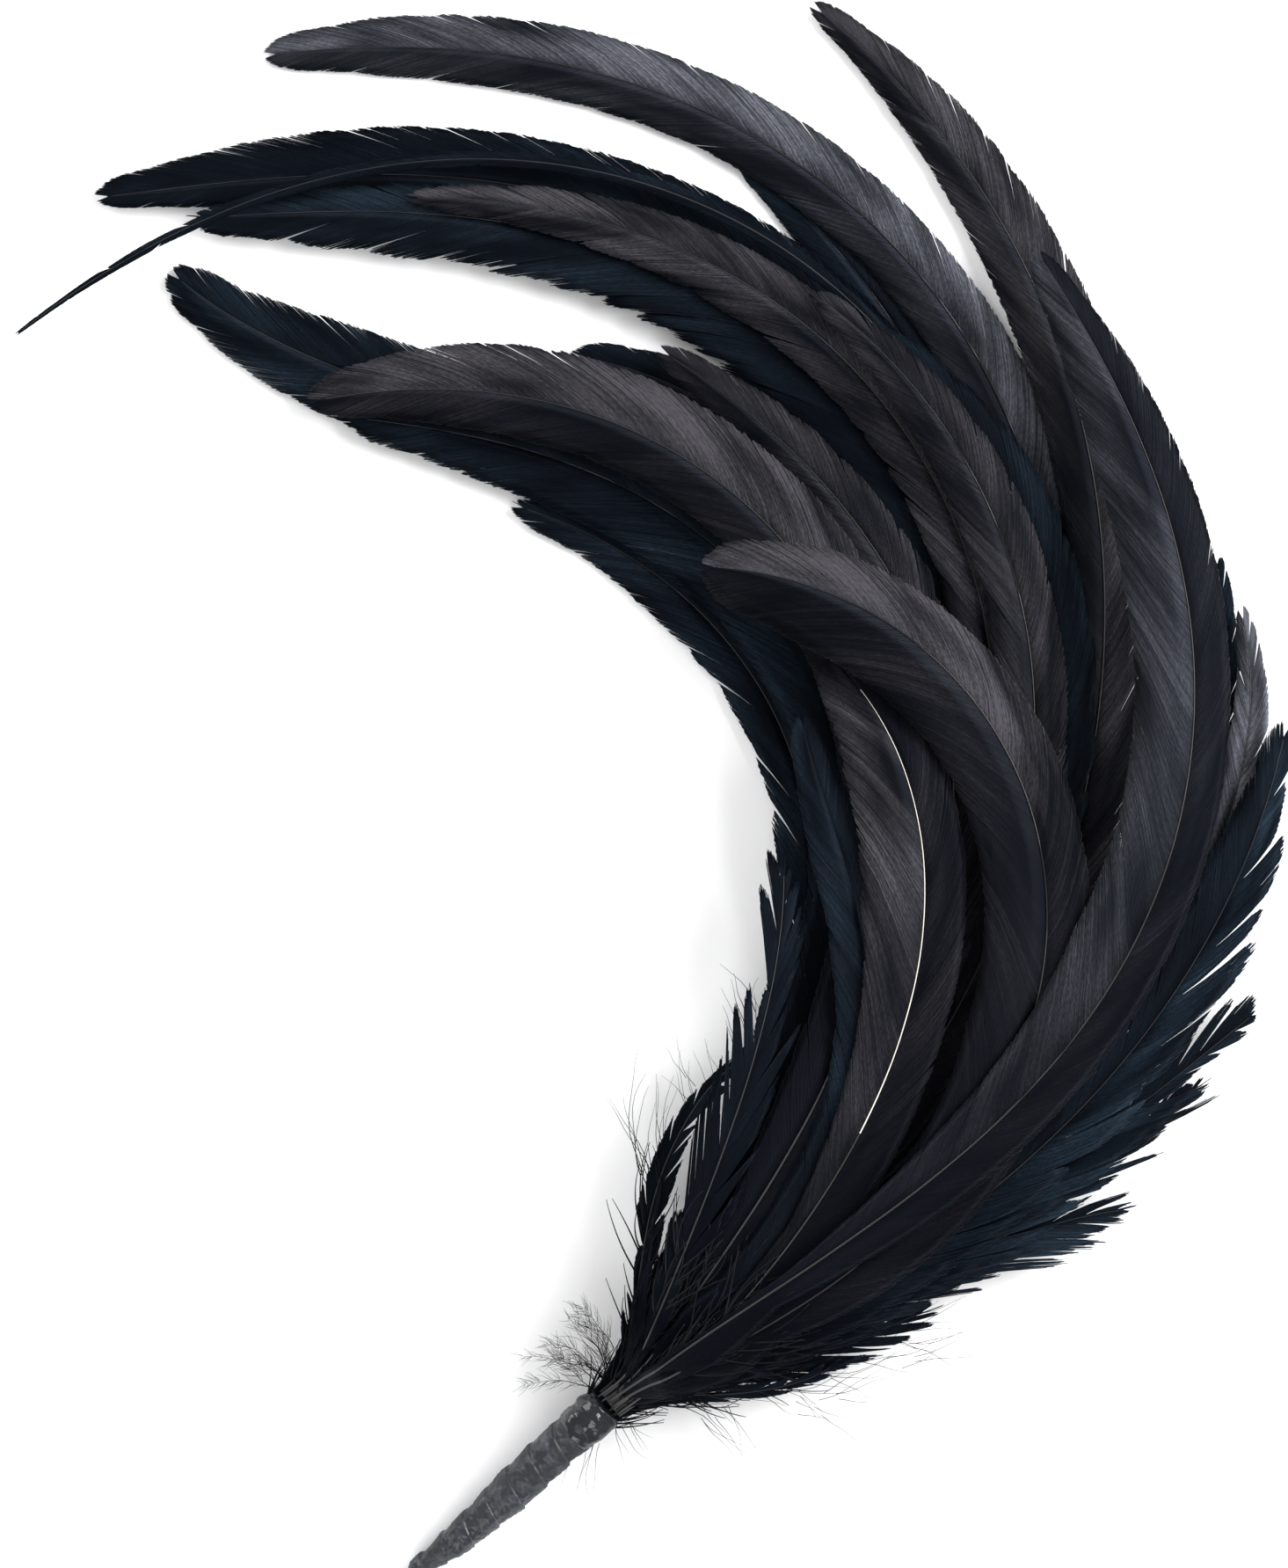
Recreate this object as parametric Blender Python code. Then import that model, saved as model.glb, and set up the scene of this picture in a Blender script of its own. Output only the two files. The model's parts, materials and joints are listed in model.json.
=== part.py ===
"""A black coque feather mount: thirty rooster tail feathers bound by their quills to a taped wire stem.

It lies on a table, seen from above along -Z. The feathers leave the stem at the binding, fan out and
curl to the left. Each one is laid on those below it, so the list of feathers runs from the table up.
"""

import math

import bmesh
import bpy
import numpy as np
from mathutils import Vector

MM = 0.001

# Stem
STEM_LENGTH = 50 * MM
STEM_BEARINGS = (38, 44, 32)  # degrees from +X at the binding, half way and at the cut end
BINDING_HEIGHT = 9.5 * MM  # the stem's axis over the table, at the binding
SLOT_PITCH = 1.15 * MM  # quill to quill in the hexagonal bundle
QUILL_RADIUS = 0.375 * MM
QUILL_TIP_RADIUS = 0.22 * MM
WIRE_RADIUS = 0.45 * MM
WIRE_TOP_DEPTH = 1.5 * MM
BUNDLE_CLEARANCE = 0.15 * MM
TAPE_WALL = 0.4 * MM
TAPE_TOP_DEPTH = 3.8 * MM
TAPE_WRAP_PITCH = 6.2 * MM
TAPE_WRAP_STEP = 0.16 * MM  # how far each wrap stands over the next
TAPE_WRAP_SKEW = 1.3 * MM  # the wraps' edges run round the stem at a slant
TAPE_END_RADIUS = 1.7 * MM
TAPE_END_WALL = 1.6 * MM
TAPE_END_TAPER = 6 * MM  # the length over which the tape closes in on the wire
TAPE_LIP = 0.25 * MM  # how long the step from one wrap down to the next is
SKEW_TURN = 0.8  # radians round the stem to where a wrap's edge reaches furthest
THREAD_RADIUS = 0.17 * MM
THREAD_PITCH = 0.5 * MM
THREAD_TURNS = 5
THREAD_TOP_DEPTH = 0.8 * MM
GLUE_DEPTHS = (2.6 * MM, 8.4 * MM)
GLUE_WALL = 0.34 * MM
GLUE_CLEARANCE = 0.2 * MM

# How far from the stem's cut end the quills of each ring of the bundle stop: the inner ones come
# nearest to it, which gives the stem its taper. The key is the ring's radius in slot pitches, times 10.
RING_STOPS = {10: 6 * MM, 17: 13 * MM, 20: 19 * MM, 26: 28 * MM}
RING_DEPTHS = {ring: STEM_LENGTH - stop for ring, stop in RING_STOPS.items()}
OUTER_RING = max(RING_STOPS)
BUNDLE_ROWS = ((-3, 2), (-2, 5), (-1, 6), (0, 5), (1, 6), (2, 5), (3, 2))  # row, slots in it

# Feathers
LENGTH_FACTOR = 1.0  # on the length of every feather
WIDTH_FACTOR = 1.0  # on the width of every vane
BLADE_GAP = 1.4 * MM  # from the hinge line to where a moving feather starts
QUILL_STOP = 0.6 * MM  # from the hinge line to where its quill in the stem stops
QUILL_JOIN = 1.5 * MM  # from the hinge line to the top ring of a whole feather's quill
TURN_LENGTH = 16 * MM  # a feather turns from the stem's direction to its own over this length
VANE_START = 12 * MM
VANE_THICKNESS = 0.3 * MM
TIP_START = 0.70  # where a pointed vane starts to narrow, as a share of the feather
TIP_START_GAIN = 0.15  # how much later a fully blunt one does
TIP_POWER = 0.70  # how full the tip's outline is: 0.5 is an ellipse
TIP_POWER_DROP = 0.20
RISE_POWER = 1.25  # how slowly the vane widens at its foot
VANE_FULL_SHARE = 0.33  # share of the length at which the vane reaches its full width
VANE_DROOP = 0.09  # how far a vane's edge hangs, as a share of its width
VANE_OPENING = 4  # the section is a full vane once the width is a quarter of its greatest
SHAFT_TIP_RADIUS = 0.19 * MM
SHOULDER_REACH = 1.3  # from the shaft's middle to where the vane leaves it, in shaft radii
SHOULDER_LIMIT = 0.75  # and at most this share of the vane's width
SHOULDER_HEIGHT = 0.7  # the shoulder of a bare quill, in shaft radii
BELLY_QUILL = 0.8  # the shaft's underside on a bare quill, in shaft radii
BELLY_VANE = 0.5  # and on a full vane
LAY_GAP = 0.22 * MM
FREE_LENGTH = 10 * MM  # up to here a feather keeps its slot's height
FREE_POWER = 1.5  # how its lift starts inside that length
LIFT_SLOPE = 0.12  # how fast a feather may come down again beyond what it was laid over
RISE_SLOPE = 0.5  # how fast it may rise to it
SMOOTH_START = 40 * MM  # its lift is smoothed from here out
SMOOTH_PASSES = 8
BOW_START = 0.3  # a tip bows up from this share of the length on
ARCH_HEIGHT = 4 * MM
ARCH_LENGTH = 170 * MM
SETTLE_LENGTH = 90 * MM  # the length over which the natural height goes down to the table
CELL = 0.3 * MM
NEAR_STATIONS = (5, 10, 14, 19, 26, 35)  # mm from the binding
TIP_STATIONS = (10 * MM, 4 * MM)  # from the tip, on feathers longer than the next value
LONG_FEATHER = 100 * MM
LEAST_SPACING = 2 * MM
STATION_STEP = 21 * MM
EDGE_SAMPLE = 0.26 * MM

# Name, row, length, bearings at the start, thirds and tip, inner and outer half width, how blunt the
# tip is (0 to 1), how far the tip bows up, body. Lengths in mm, bearings in degrees from +X.
ROOT = "stem"
MIDDLE = "middle_feathers"
TOP = "top_feathers"
CURLED = "curled_feather"
OUTER = "outer_feather"
FEATHERS = (
    ("crest_under", -3, 286, (39, 63, 102, 141), 7.5, 6.5, 0.5, 0, ROOT),
    ("peek_small", -3, 257, (50, 65, 111, 171), 6.5, 6, 1.0, 0, ROOT),
    ("inner_blue", -2, 211, (74, 68, 114, 163), 7, 6, 0.3, 1, ROOT),
    ("upper_low_sickle", -2, 308, (52, 69, 122, 180), 9.5, 8, 0.4, 0, ROOT),
    ("lower_left_sickle", -2, 310, (55, 82, 148, 138), 10, 9.5, 0.8, 0, ROOT),
    ("crest_sickle", -2, 396, (45, 71, 134, 187), 7, 7.5, 1.0, 0, ROOT),
    ("under_fringe", -2, 66, (3, 13, 16, 27), 4.5, 4, 0.2, 0, ROOT),
    ("broad_left_under", -1, 263, (66, 71, 132, 173), 10, 8, 0.5, 1, ROOT),
    ("upper_left_sickle", -1, 390, (51, 76, 148, 187), 7, 10, 0.6, 2, ROOT),
    ("spire_sickle", -1, 326, (28, 61, 100, 142), 7.5, 9, 0.2, 1, ROOT),
    ("low_fringe", -1, 110, (21, 21, 22, 4), 6, 6.5, 0.2, 0, ROOT),
    ("rim_split_low", -1, 133, (21, 24, 31, 39), 6, 6.5, 0.2, 1, ROOT),
    ("base_strand", -1, 47, (-16, -1, 10, 37), 1.3, 1.3, 0.3, 0, ROOT),
    ("upper_mid_sickle", 0, 358, (56, 73, 142, 184), 10.5, 7, 0.4, 2, ROOT),
    ("rim_split_high", 0, 149, (29, 27, 35, 37), 6.5, 7, 0.2, 2, ROOT),
    ("mid_fan_c", 0, 258, (42, 53, 93, 152), 7.5, 7, 0.3, 2, ROOT),
    ("rim_point", 0, 218, (38, 37, 64, 98), 4.5, 5, 0.2, 2, ROOT),
    ("rim_grey", 1, 211, (27, 38, 57, 104), 4.5, 5, 0.3, 3, MIDDLE),
    ("rim_sickle", 1, 194, (24, 34, 53, 79), 7.5, 8, 0.3, 4, MIDDLE),
    ("sheen_sickle", 1, 327, (49, 67, 126, 180), 7, 6.5, 0.3, 4, MIDDLE),
    ("ribbon_sickle", 1, 428, (45, 80, 157, 218), 1.6, 1.6, 0.1, 6, MIDDLE),
    ("mid_fan_b", 1, 258, (47, 55, 96, 144), 7, 6.5, 0.3, 4, MIDDLE),
    ("base_curl", 1, 79, (78, 83, 64, 33), 2.4, 2.4, 0.2, 2, MIDDLE),
    ("mid_fan_a", 2, 248, (56, 60, 108, 147), 7.5, 7, 0.3, 4, TOP),
    ("broad_left", 2, 287, (58, 73, 134, 191), 8.5, 10.5, 0.7, 5, TOP),
    ("inner_short", 2, 112, (66, 68, 74, 92), 6.5, 5, 0.1, 3, TOP),
    ("pale_quill_left", 2, 154, (54, 54, 95, 101), 6.5, 5.5, 0.3, 5, TOP),
    ("pale_quill", 2, 172, (39, 56, 85, 138), 12, 8, 0.6, 6, TOP),
    ("curled_top", 3, 239, (26, 50, 111, 178), 12, 8.5, 1.0, 12, CURLED),
    ("outer_sickle", 3, 278, (42, 43, 89, 122), 11.5, 7, 0.2, 9, OUTER),
)
BROWN_FEATHERS = ("mid_fan_b", "pale_quill", "sheen_sickle", "broad_left", "spire_sickle")
BODY_PARENTS = {MIDDLE: ROOT, TOP: MIDDLE, CURLED: TOP, OUTER: CURLED}

BLUE_BLACK = (0.008, 0.010, 0.014)
BROWN_BLACK = (0.014, 0.012, 0.012)
TAPE_BLACK = (0.028, 0.034, 0.040)
GLUE_BLACK = (0.012, 0.012, 0.013)
WIRE_STEEL = (0.30, 0.30, 0.31)
QUILL_HORN = (0.10, 0.085, 0.07)

KNOT_SHARES = (0, 1 / 3, 2 / 3, 1)


# ---------------------------------------------------------------- small helpers


def clear_scene():
    for old in list(bpy.data.objects):
        bpy.data.objects.remove(old, do_unlink=True)


def make_material(name, colour, roughness, metallic=0.0):
    material = bpy.data.materials.new(name)
    material.use_nodes = True
    shader = material.node_tree.nodes["Principled BSDF"]
    shader.inputs["Base Color"].default_value = (*colour, 1)
    shader.inputs["Roughness"].default_value = roughness
    shader.inputs["Metallic"].default_value = metallic
    return material


def smoothstep(share):
    share = np.clip(share, 0, 1)
    return share * share * (3 - 2 * share)


def direction(bearing):
    """The unit vector in the table's plane at this bearing, or one for each bearing."""
    angle = np.radians(bearing)
    return np.stack([np.cos(angle), np.sin(angle)], axis=-1)


def left_of(forward):
    return np.stack([-forward[..., 1], forward[..., 0]], axis=-1)


def add_object(name, bm, material, parent):
    bmesh.ops.recalc_face_normals(bm, faces=bm.faces)
    mesh = bpy.data.meshes.new(name)
    bm.to_mesh(mesh)
    bm.free()
    mesh.materials.append(material)
    mesh.shade_smooth()
    mesh.set_sharp_from_angle(angle=math.radians(50))
    obj = bpy.data.objects.new(name, mesh)
    bpy.context.scene.collection.objects.link(obj)
    obj.parent = parent
    if parent is not None:
        obj.location = -parent_place(parent)
    return obj


def parent_place(empty):
    """Where an empty stands, counted from the binding."""
    place = Vector(empty.location)
    while empty.parent is not None and empty.parent.parent is not None:
        empty = empty.parent
        place += Vector(empty.location)
    return place if empty.parent is not None else Vector()


def sweep(rings):
    """A closed solid through rings of points: the first ring is a face that is extruded to each next one."""
    bm = bmesh.new()
    count = len(rings[0])
    start = bmesh.ops.create_circle(bm, cap_ends=True, segments=count, radius=1)
    corners = start["verts"]
    for corner, place in zip(corners, rings[0]):
        corner.co = place
    face = bm.faces[:][0]
    for ring in rings[1:]:
        old = [corner.co.copy() for corner in corners]
        made = bmesh.ops.extrude_face_region(bm, geom=[face])["geom"]
        if ring is not rings[1]:
            bmesh.ops.delete(bm, geom=[face], context="FACES_ONLY")
        face = next(item for item in made if isinstance(item, bmesh.types.BMFace))
        fresh = [None] * count
        for corner in face.verts:
            nearest = min(range(count), key=lambda i: (old[i] - corner.co).length_squared)
            fresh[nearest] = corner
        corners = fresh
        for corner, place in zip(corners, ring):
            corner.co = place
    return bm


# ---------------------------------------------------------------- stem


def stem_plan(depth):
    """Plan position and forward direction of the stem's axis, at a depth below the binding."""
    steps = np.linspace(0, depth, 40)
    shares = steps / STEM_LENGTH
    curve = np.polyfit((0, 0.5, 1), STEM_BEARINGS, 2)
    forward = direction(np.polyval(curve, shares))
    middles = (forward[1:] + forward[:-1]) / 2
    place = -(middles * np.diff(steps)[:, None]).sum(axis=0)
    return place, forward[-1]


def ring_radius(ring):
    """Inner radius of a tape that just clears the quills of one ring of the bundle."""
    return ring / 10 * SLOT_PITCH + QUILL_RADIUS + BUNDLE_CLEARANCE


def tape_inner(depth):
    rings = sorted(RING_DEPTHS, reverse=True)
    depths = [0] + [RING_DEPTHS[ring] for ring in rings] + [STEM_LENGTH - TAPE_END_WALL]
    radii = [ring_radius(rings[0])] + [ring_radius(ring) for ring in rings]
    radii += [WIRE_RADIUS + BUNDLE_CLEARANCE]
    return np.interp(depth, depths, radii)


def tape_outer(depth):
    share = smoothstep((depth - STEM_LENGTH + TAPE_END_TAPER) / TAPE_END_TAPER)
    return (tape_inner(depth) + TAPE_WALL) * (1 - share) + TAPE_END_RADIUS * share


def glue_outer():
    return tape_outer(0) + TAPE_WRAP_STEP + GLUE_CLEARANCE + GLUE_WALL


def axis_height(depth):
    """The stem rests on the table at its cut end, and the feathers hold it up at the binding."""
    lowest = TAPE_END_RADIUS + TAPE_WRAP_STEP
    return lowest + (BINDING_HEIGHT - lowest) * (1 - depth / STEM_LENGTH)


def stem_ring(depth, radius, sides, skew=0.0):
    """A ring of points round the stem's axis. With a skew it leans along the axis."""
    points = []
    for index in range(sides):
        angle = 2 * math.pi * index / sides
        here = depth + skew * math.cos(angle + SKEW_TURN)
        place, forward = stem_plan(here)
        side = left_of(forward) * radius * math.cos(angle)
        points.append((*(place + side), axis_height(depth) + radius * math.sin(angle)))
    return points


def make_tape(material, parent):
    sides = 16
    bottom = STEM_LENGTH - TAPE_END_WALL
    bends = list(np.linspace(TAPE_TOP_DEPTH, min(RING_DEPTHS.values()), 5)[:-1])
    inner_depths = sorted([bottom, *RING_DEPTHS.values(), *bends], reverse=True)
    rings = [stem_ring(depth, tape_inner(depth), sides) for depth in inner_depths]
    depth = TAPE_TOP_DEPTH
    rings.append(stem_ring(depth, tape_outer(depth), sides))
    wraps = int((STEM_LENGTH - TAPE_TOP_DEPTH - TAPE_WRAP_SKEW) / TAPE_WRAP_PITCH)
    for wrap in range(1, wraps + 1):
        edge = TAPE_TOP_DEPTH + wrap * TAPE_WRAP_PITCH - 2 * TAPE_WRAP_SKEW
        rings.append(stem_ring(edge, tape_outer(edge) + TAPE_WRAP_STEP, sides, TAPE_WRAP_SKEW))
        low = edge + TAPE_LIP
        rings.append(stem_ring(low, tape_outer(low), sides, TAPE_WRAP_SKEW))
    rings.append(stem_ring(STEM_LENGTH, TAPE_END_RADIUS, sides))
    return add_object("stem_tape", sweep(rings), material, parent)


def make_wire(material, parent):
    depths = np.linspace(WIRE_TOP_DEPTH, STEM_LENGTH - TAPE_END_WALL - BUNDLE_CLEARANCE, 12)
    rings = [stem_ring(depth, WIRE_RADIUS, 8) for depth in depths]
    return add_object("stub_wire", sweep(rings), material, parent)


def make_thread(material, parent):
    """The binding thread: a coil wound round the quills above the tape."""
    radius = ring_radius(OUTER_RING) + THREAD_RADIUS
    per_turn = 14
    centres = []
    for index in range(THREAD_TURNS * per_turn + 1):
        angle = 2 * math.pi * index / per_turn
        depth = THREAD_TOP_DEPTH + THREAD_PITCH * index / per_turn
        place, forward = stem_plan(depth)
        side = left_of(forward) * radius * math.cos(angle)
        centres.append(Vector((*(place + side), axis_height(depth) + radius * math.sin(angle))))
    curve = bpy.data.curves.new("binding_thread", "CURVE")
    curve.dimensions = "3D"
    curve.bevel_depth = THREAD_RADIUS
    curve.bevel_resolution = 1
    curve.use_fill_caps = True
    spline = curve.splines.new("POLY")
    spline.points.add(len(centres) - 1)
    for point, centre in zip(spline.points, centres):
        point.co = (*centre, 1)
    curve.materials.append(material)
    obj = bpy.data.objects.new("binding_thread", curve)
    bpy.context.scene.collection.objects.link(obj)
    obj.parent = parent
    return obj


def make_glue(material, parent):
    """The collar of set glue over the top of the tape: a closed profile carried round the stem."""
    inner = tape_outer(0) + TAPE_WRAP_STEP + GLUE_CLEARANCE
    outer = glue_outer()
    first, last = GLUE_DEPTHS
    middle = (first + last) / 2
    profile = (
        (first, inner),
        (first, outer - GLUE_WALL / 2),
        (first + GLUE_WALL, outer),
        (middle, outer - GLUE_WALL / 6),
        (last - GLUE_WALL, outer - GLUE_WALL / 3),
        (last, inner + GLUE_WALL / 3),
        (last, inner),
    )
    bm = sweep([stem_ring(depth, radius, 20) for depth, radius in profile])
    caps = [face for face in bm.faces if len(face.verts) == 20]
    bmesh.ops.delete(bm, geom=caps, context="FACES_ONLY")
    bmesh.ops.bridge_loops(bm, edges=[edge for edge in bm.edges if edge.is_boundary])
    return add_object("glue_collar", bm, material, parent)


# ---------------------------------------------------------------- feathers


def slots_of_row(row, count):
    """The slots of one row of the bundle, from left to right: (left of the axis, height over it)."""
    slots = []
    for index in range(count):
        across = (count - 1) / 2 - index
        if (row, across) != (0, 0):  # the wire's own slot
            slots.append((across * SLOT_PITCH, row * SLOT_PITCH * math.sqrt(3) / 2))
    return slots


def assign_slots():
    """Each feather's slot. In a row the steeper bearing takes the slot further left, so none cross there."""
    chosen = {}
    for row, count in BUNDLE_ROWS:
        members = sorted((f for f in FEATHERS if f[1] == row), key=lambda f: -f[3][0])
        for feather, slot in zip(members, slots_of_row(row, count)):
            chosen[feather[0]] = slot
    return chosen


def ring_of_slot(slot):
    radius = math.hypot(*slot) / SLOT_PITCH * 10
    return min(RING_DEPTHS, key=lambda ring: abs(ring - radius))


def plan_path(length, bearings, slot, stations):
    """Plan positions and left-hand normals at the stations, for a feather that starts in this slot."""
    step = 0.5 * MM
    along = np.arange(0, length + step, step)
    curve = np.polyfit(KNOT_SHARES, bearings, 3)
    own = np.polyval(curve, np.clip(along / length, 0, 1))
    heading = STEM_BEARINGS[0] + (own - STEM_BEARINGS[0]) * smoothstep(along / TURN_LENGTH)
    forward = direction(heading)
    start = left_of(direction(STEM_BEARINGS[0])) * slot[0]
    places = start + np.concatenate([[[0, 0]], np.cumsum(forward[:-1] * step, axis=0)])
    points = np.stack([np.interp(stations, along, places[:, axis]) for axis in (0, 1)], axis=-1)
    normals = np.stack([np.interp(stations, along, left_of(forward)[:, axis]) for axis in (0, 1)], axis=-1)
    return points, normals / np.linalg.norm(normals, axis=1)[:, None]


def vane_share(stations, length, blunt):
    """The vane's width along the feather, as a share of its greatest."""
    share = stations / length
    start = VANE_START / length
    rise = np.sin(np.pi / 2 * np.clip((share - start) / (VANE_FULL_SHARE - start), 0, 1)) ** RISE_POWER
    fall_start = TIP_START + TIP_START_GAIN * blunt
    fall = np.clip((share - fall_start) / (1 - fall_start), 0, 1)
    return rise * (1 - fall**2) ** (TIP_POWER - TIP_POWER_DROP * blunt)


def cross_section(left, right, shaft, open_share):
    """Eight points round a feather, as (left of the shaft, height): an open vane, or a plain round quill."""
    half = VANE_THICKNESS / 2
    left = max(left, shaft)
    right = max(right, shaft)
    shoulder = max(half, SHOULDER_HEIGHT * shaft * (1 - open_share))
    belly = shaft * (BELLY_QUILL + (BELLY_VANE - BELLY_QUILL) * open_share)
    left_drop = VANE_DROOP * (left - shaft)
    right_drop = VANE_DROOP * (right - shaft)
    return (
        (left, half - left_drop),
        (min(SHOULDER_REACH * shaft, SHOULDER_LIMIT * left), shoulder),
        (0, shaft),
        (-min(SHOULDER_REACH * shaft, SHOULDER_LIMIT * right), shoulder),
        (-right, half - right_drop),
        (-right, -half - right_drop),
        (0, -belly),
        (left, -half - left_drop),
    )


def blade_stations(length, moving):
    """Distances from the binding at which a blade has a ring: close together at its foot and its tip."""
    last = TIP_STATIONS[-1]
    near = [station * MM for station in NEAR_STATIONS if station * MM < length - last]
    count = max(3, round((length - near[-1]) / STATION_STEP))
    far = near[-1] + (length - near[-1]) * np.arange(1, count + 1) / count
    far = [station for station in far if abs(station - length + last) > LEAST_SPACING]
    tip = [length - station for station in TIP_STATIONS] if length > LONG_FEATHER else []
    first = BLADE_GAP if moving else 0.0
    return np.array(sorted([first, *near, *far, *tip]))


def lerp_rings(rings, parts):
    """Each interval between rings cut into this many, as (interval, part, point, axis)."""
    shares = np.arange(parts) / parts
    low = rings[:-1, None]
    high = rings[1:, None]
    return low + (high - low) * shares[None, :, None, None]


def samples(rings, indices):
    """Points closely spaced over a strip of the swept surface, as (interval, n, 3)."""
    longest = np.linalg.norm(np.diff(rings[:, 2], axis=0), axis=1).max()
    fine = lerp_rings(rings, max(2, math.ceil(longest / EDGE_SAMPLE)))
    strips = []
    for a, b in zip(indices, indices[1:]):
        start = fine[:, :, a]
        end = fine[:, :, b]
        wide = np.linalg.norm(end - start, axis=-1).max()
        shares = np.linspace(0, 1, max(2, math.ceil(wide / EDGE_SAMPLE)))
        strips.append(start[:, :, None] + (end - start)[:, :, None] * shares[None, None, :, None])
    joined = np.concatenate(strips, axis=2)
    return joined.reshape(len(rings) - 1, -1, 3)


class Pile:
    """The height of what has been laid so far, over a grid on the table."""

    def __init__(self, low, high):
        self.low = np.array(low)
        self.shape = tuple(np.ceil((np.array(high) - low) / CELL).astype(int) + 4)
        self.heights = np.full(self.shape, -LAY_GAP)

    def cells(self, points):
        index = ((points[..., :2] - self.low) / CELL).astype(int) + 1
        return index[..., 0], index[..., 1]

    def spread(self):
        """The heights, each the greatest of its cell and the eight round it."""
        wide = self.heights.copy()
        for axis in (0, 1):
            moved = np.maximum(np.roll(wide, 1, axis=axis), np.roll(wide, -1, axis=axis))
            wide = np.maximum(wide, moved)
        return wide

    def lifts(self, rings, stations):
        """How far each station has to rise for the feather to clear what lies under it."""
        under = samples(rings, (7, 6, 5))
        need = (self.spread()[self.cells(under)] + LAY_GAP - under[..., 2]).max(axis=1)
        need = np.where(stations[:-1] < FREE_LENGTH - CELL, 0, np.maximum(need, 0))
        lift = np.maximum(np.append(need, 0), np.insert(need, 0, 0))
        apart = stations[:, None] - stations[None, :]
        slope = np.where(apart > 0, LIFT_SLOPE, RISE_SLOPE)
        lift = (lift[None, :] - slope * np.abs(apart)).max(axis=1)
        inner = stations <= FREE_LENGTH + CELL
        outer = stations > SMOOTH_START
        for _ in range(SMOOTH_PASSES):
            padded = np.pad(lift, 1, mode="edge")
            blurred = (padded[:-2] + 2 * padded[1:-1] + padded[2:]) / 4
            lift = np.where(outer, np.maximum(lift, blurred), lift)
        first = np.flatnonzero(~inner)[0]
        lift[inner] = lift[first] * (stations[inner] / stations[first]) ** FREE_POWER
        return lift

    def add(self, rings):
        over = samples(rings, (0, 1, 2, 3, 4)).reshape(-1, 3)
        np.maximum.at(self.heights, self.cells(over), over[:, 2])


def natural_height(stations, slot, rise, length):
    """The height of a feather's shaft if nothing lay under it."""
    start = axis_height(0) + slot[1]
    settle = smoothstep((stations - FREE_LENGTH) / SETTLE_LENGTH)
    arch = ARCH_HEIGHT * np.sin(np.pi * np.clip((stations - FREE_LENGTH) / ARCH_LENGTH, 0, 1)) ** 2
    bow = rise * MM * smoothstep((stations / length - BOW_START) / (1 - BOW_START))
    return start * (1 - settle) + arch + bow


def blade_rings(feather, slot, pile):
    """A feather's rings from the binding out, lifted over the pile if there is one."""
    length, bearings, inner, outer, blunt, rise, body = feather[2:]
    length = length * MM * LENGTH_FACTOR
    inner = inner * MM * WIDTH_FACTOR
    outer = outer * MM * WIDTH_FACTOR
    stations = blade_stations(length, body != ROOT)
    points, normals = plan_path(length, bearings, slot, stations)
    heights = natural_height(stations, slot, rise, length)
    shares = vane_share(stations, length, blunt)
    shafts = QUILL_RADIUS + (SHAFT_TIP_RADIUS - QUILL_RADIUS) * stations / length
    rings = []
    for point, normal, height, share, shaft in zip(points, normals, heights, shares, shafts):
        section = cross_section(inner * share, outer * share, shaft, min(1, share * VANE_OPENING))
        rings.append([(*(point + normal * across), height + up) for across, up in section])
    rings = np.array(rings)
    if pile is None:
        return rings
    rings[:, :, 2] += pile.lifts(rings, stations)[:, None]
    pile.add(rings)
    return rings


def quill_rings(slot, top_depth):
    """The quill inside the stem, from its cut end up to the given depth."""
    depths = np.linspace(RING_DEPTHS[ring_of_slot(slot)] - 2 * BUNDLE_CLEARANCE, top_depth, 7)
    rings = []
    for index, depth in enumerate(depths):
        place, forward = stem_plan(depth)
        radius = QUILL_TIP_RADIUS if index == 0 else QUILL_RADIUS
        section = cross_section(radius, radius, radius, 0)
        middle = axis_height(depth) + slot[1]
        side = left_of(forward)
        rings.append([(*(place + side * (slot[0] + across)), middle + up) for across, up in section])
    return rings


def lay_feathers():
    """The rings of every feather, laid in order from the table up."""
    slots = assign_slots()
    free = [blade_rings(feather, slots[feather[0]], None) for feather in FEATHERS]
    flat = np.concatenate([rings.reshape(-1, 3)[:, :2] for rings in free])
    pile = Pile(flat.min(axis=0), flat.max(axis=0))
    laid = {}
    for feather in FEATHERS:
        slot = slots[feather[0]]
        laid[feather[0]] = (slot, blade_rings(feather, slot, pile))
    return laid


def make_feathers(materials, empties):
    """A feather that stays put is one solid with its quill. One that lifts leaves its quill in the stem."""
    laid = lay_feathers()
    for feather in FEATHERS:
        name, body = feather[0], feather[-1]
        slot, rings = laid[name]
        vane = materials["brown_vane" if name in BROWN_FEATHERS else "blue_vane"]
        if body == ROOT:
            whole = quill_rings(slot, QUILL_JOIN) + rings.tolist()
            add_object(name, sweep(whole), vane, empties[ROOT])
            continue
        add_object(name, sweep(rings.tolist()), vane, empties[body])
        quill = sweep(quill_rings(slot, QUILL_STOP))
        add_object("quill_" + name, quill, materials["quill"], empties[ROOT])


# ---------------------------------------------------------------- assembly


def make_empties():
    """One empty for the whole mount, and one on the hinge line for each group of feathers that lifts."""
    empties = {}
    for name, parent in ((ROOT, None), *BODY_PARENTS.items()):
        empty = bpy.data.objects.new(name + "_frame", None)
        bpy.context.scene.collection.objects.link(empty)
        empties[name] = empty
        if parent is None:
            continue
        empty.parent = empties[parent]
        if parent == ROOT:
            empty.location = (0, 0, axis_height(0))
    return empties


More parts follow.
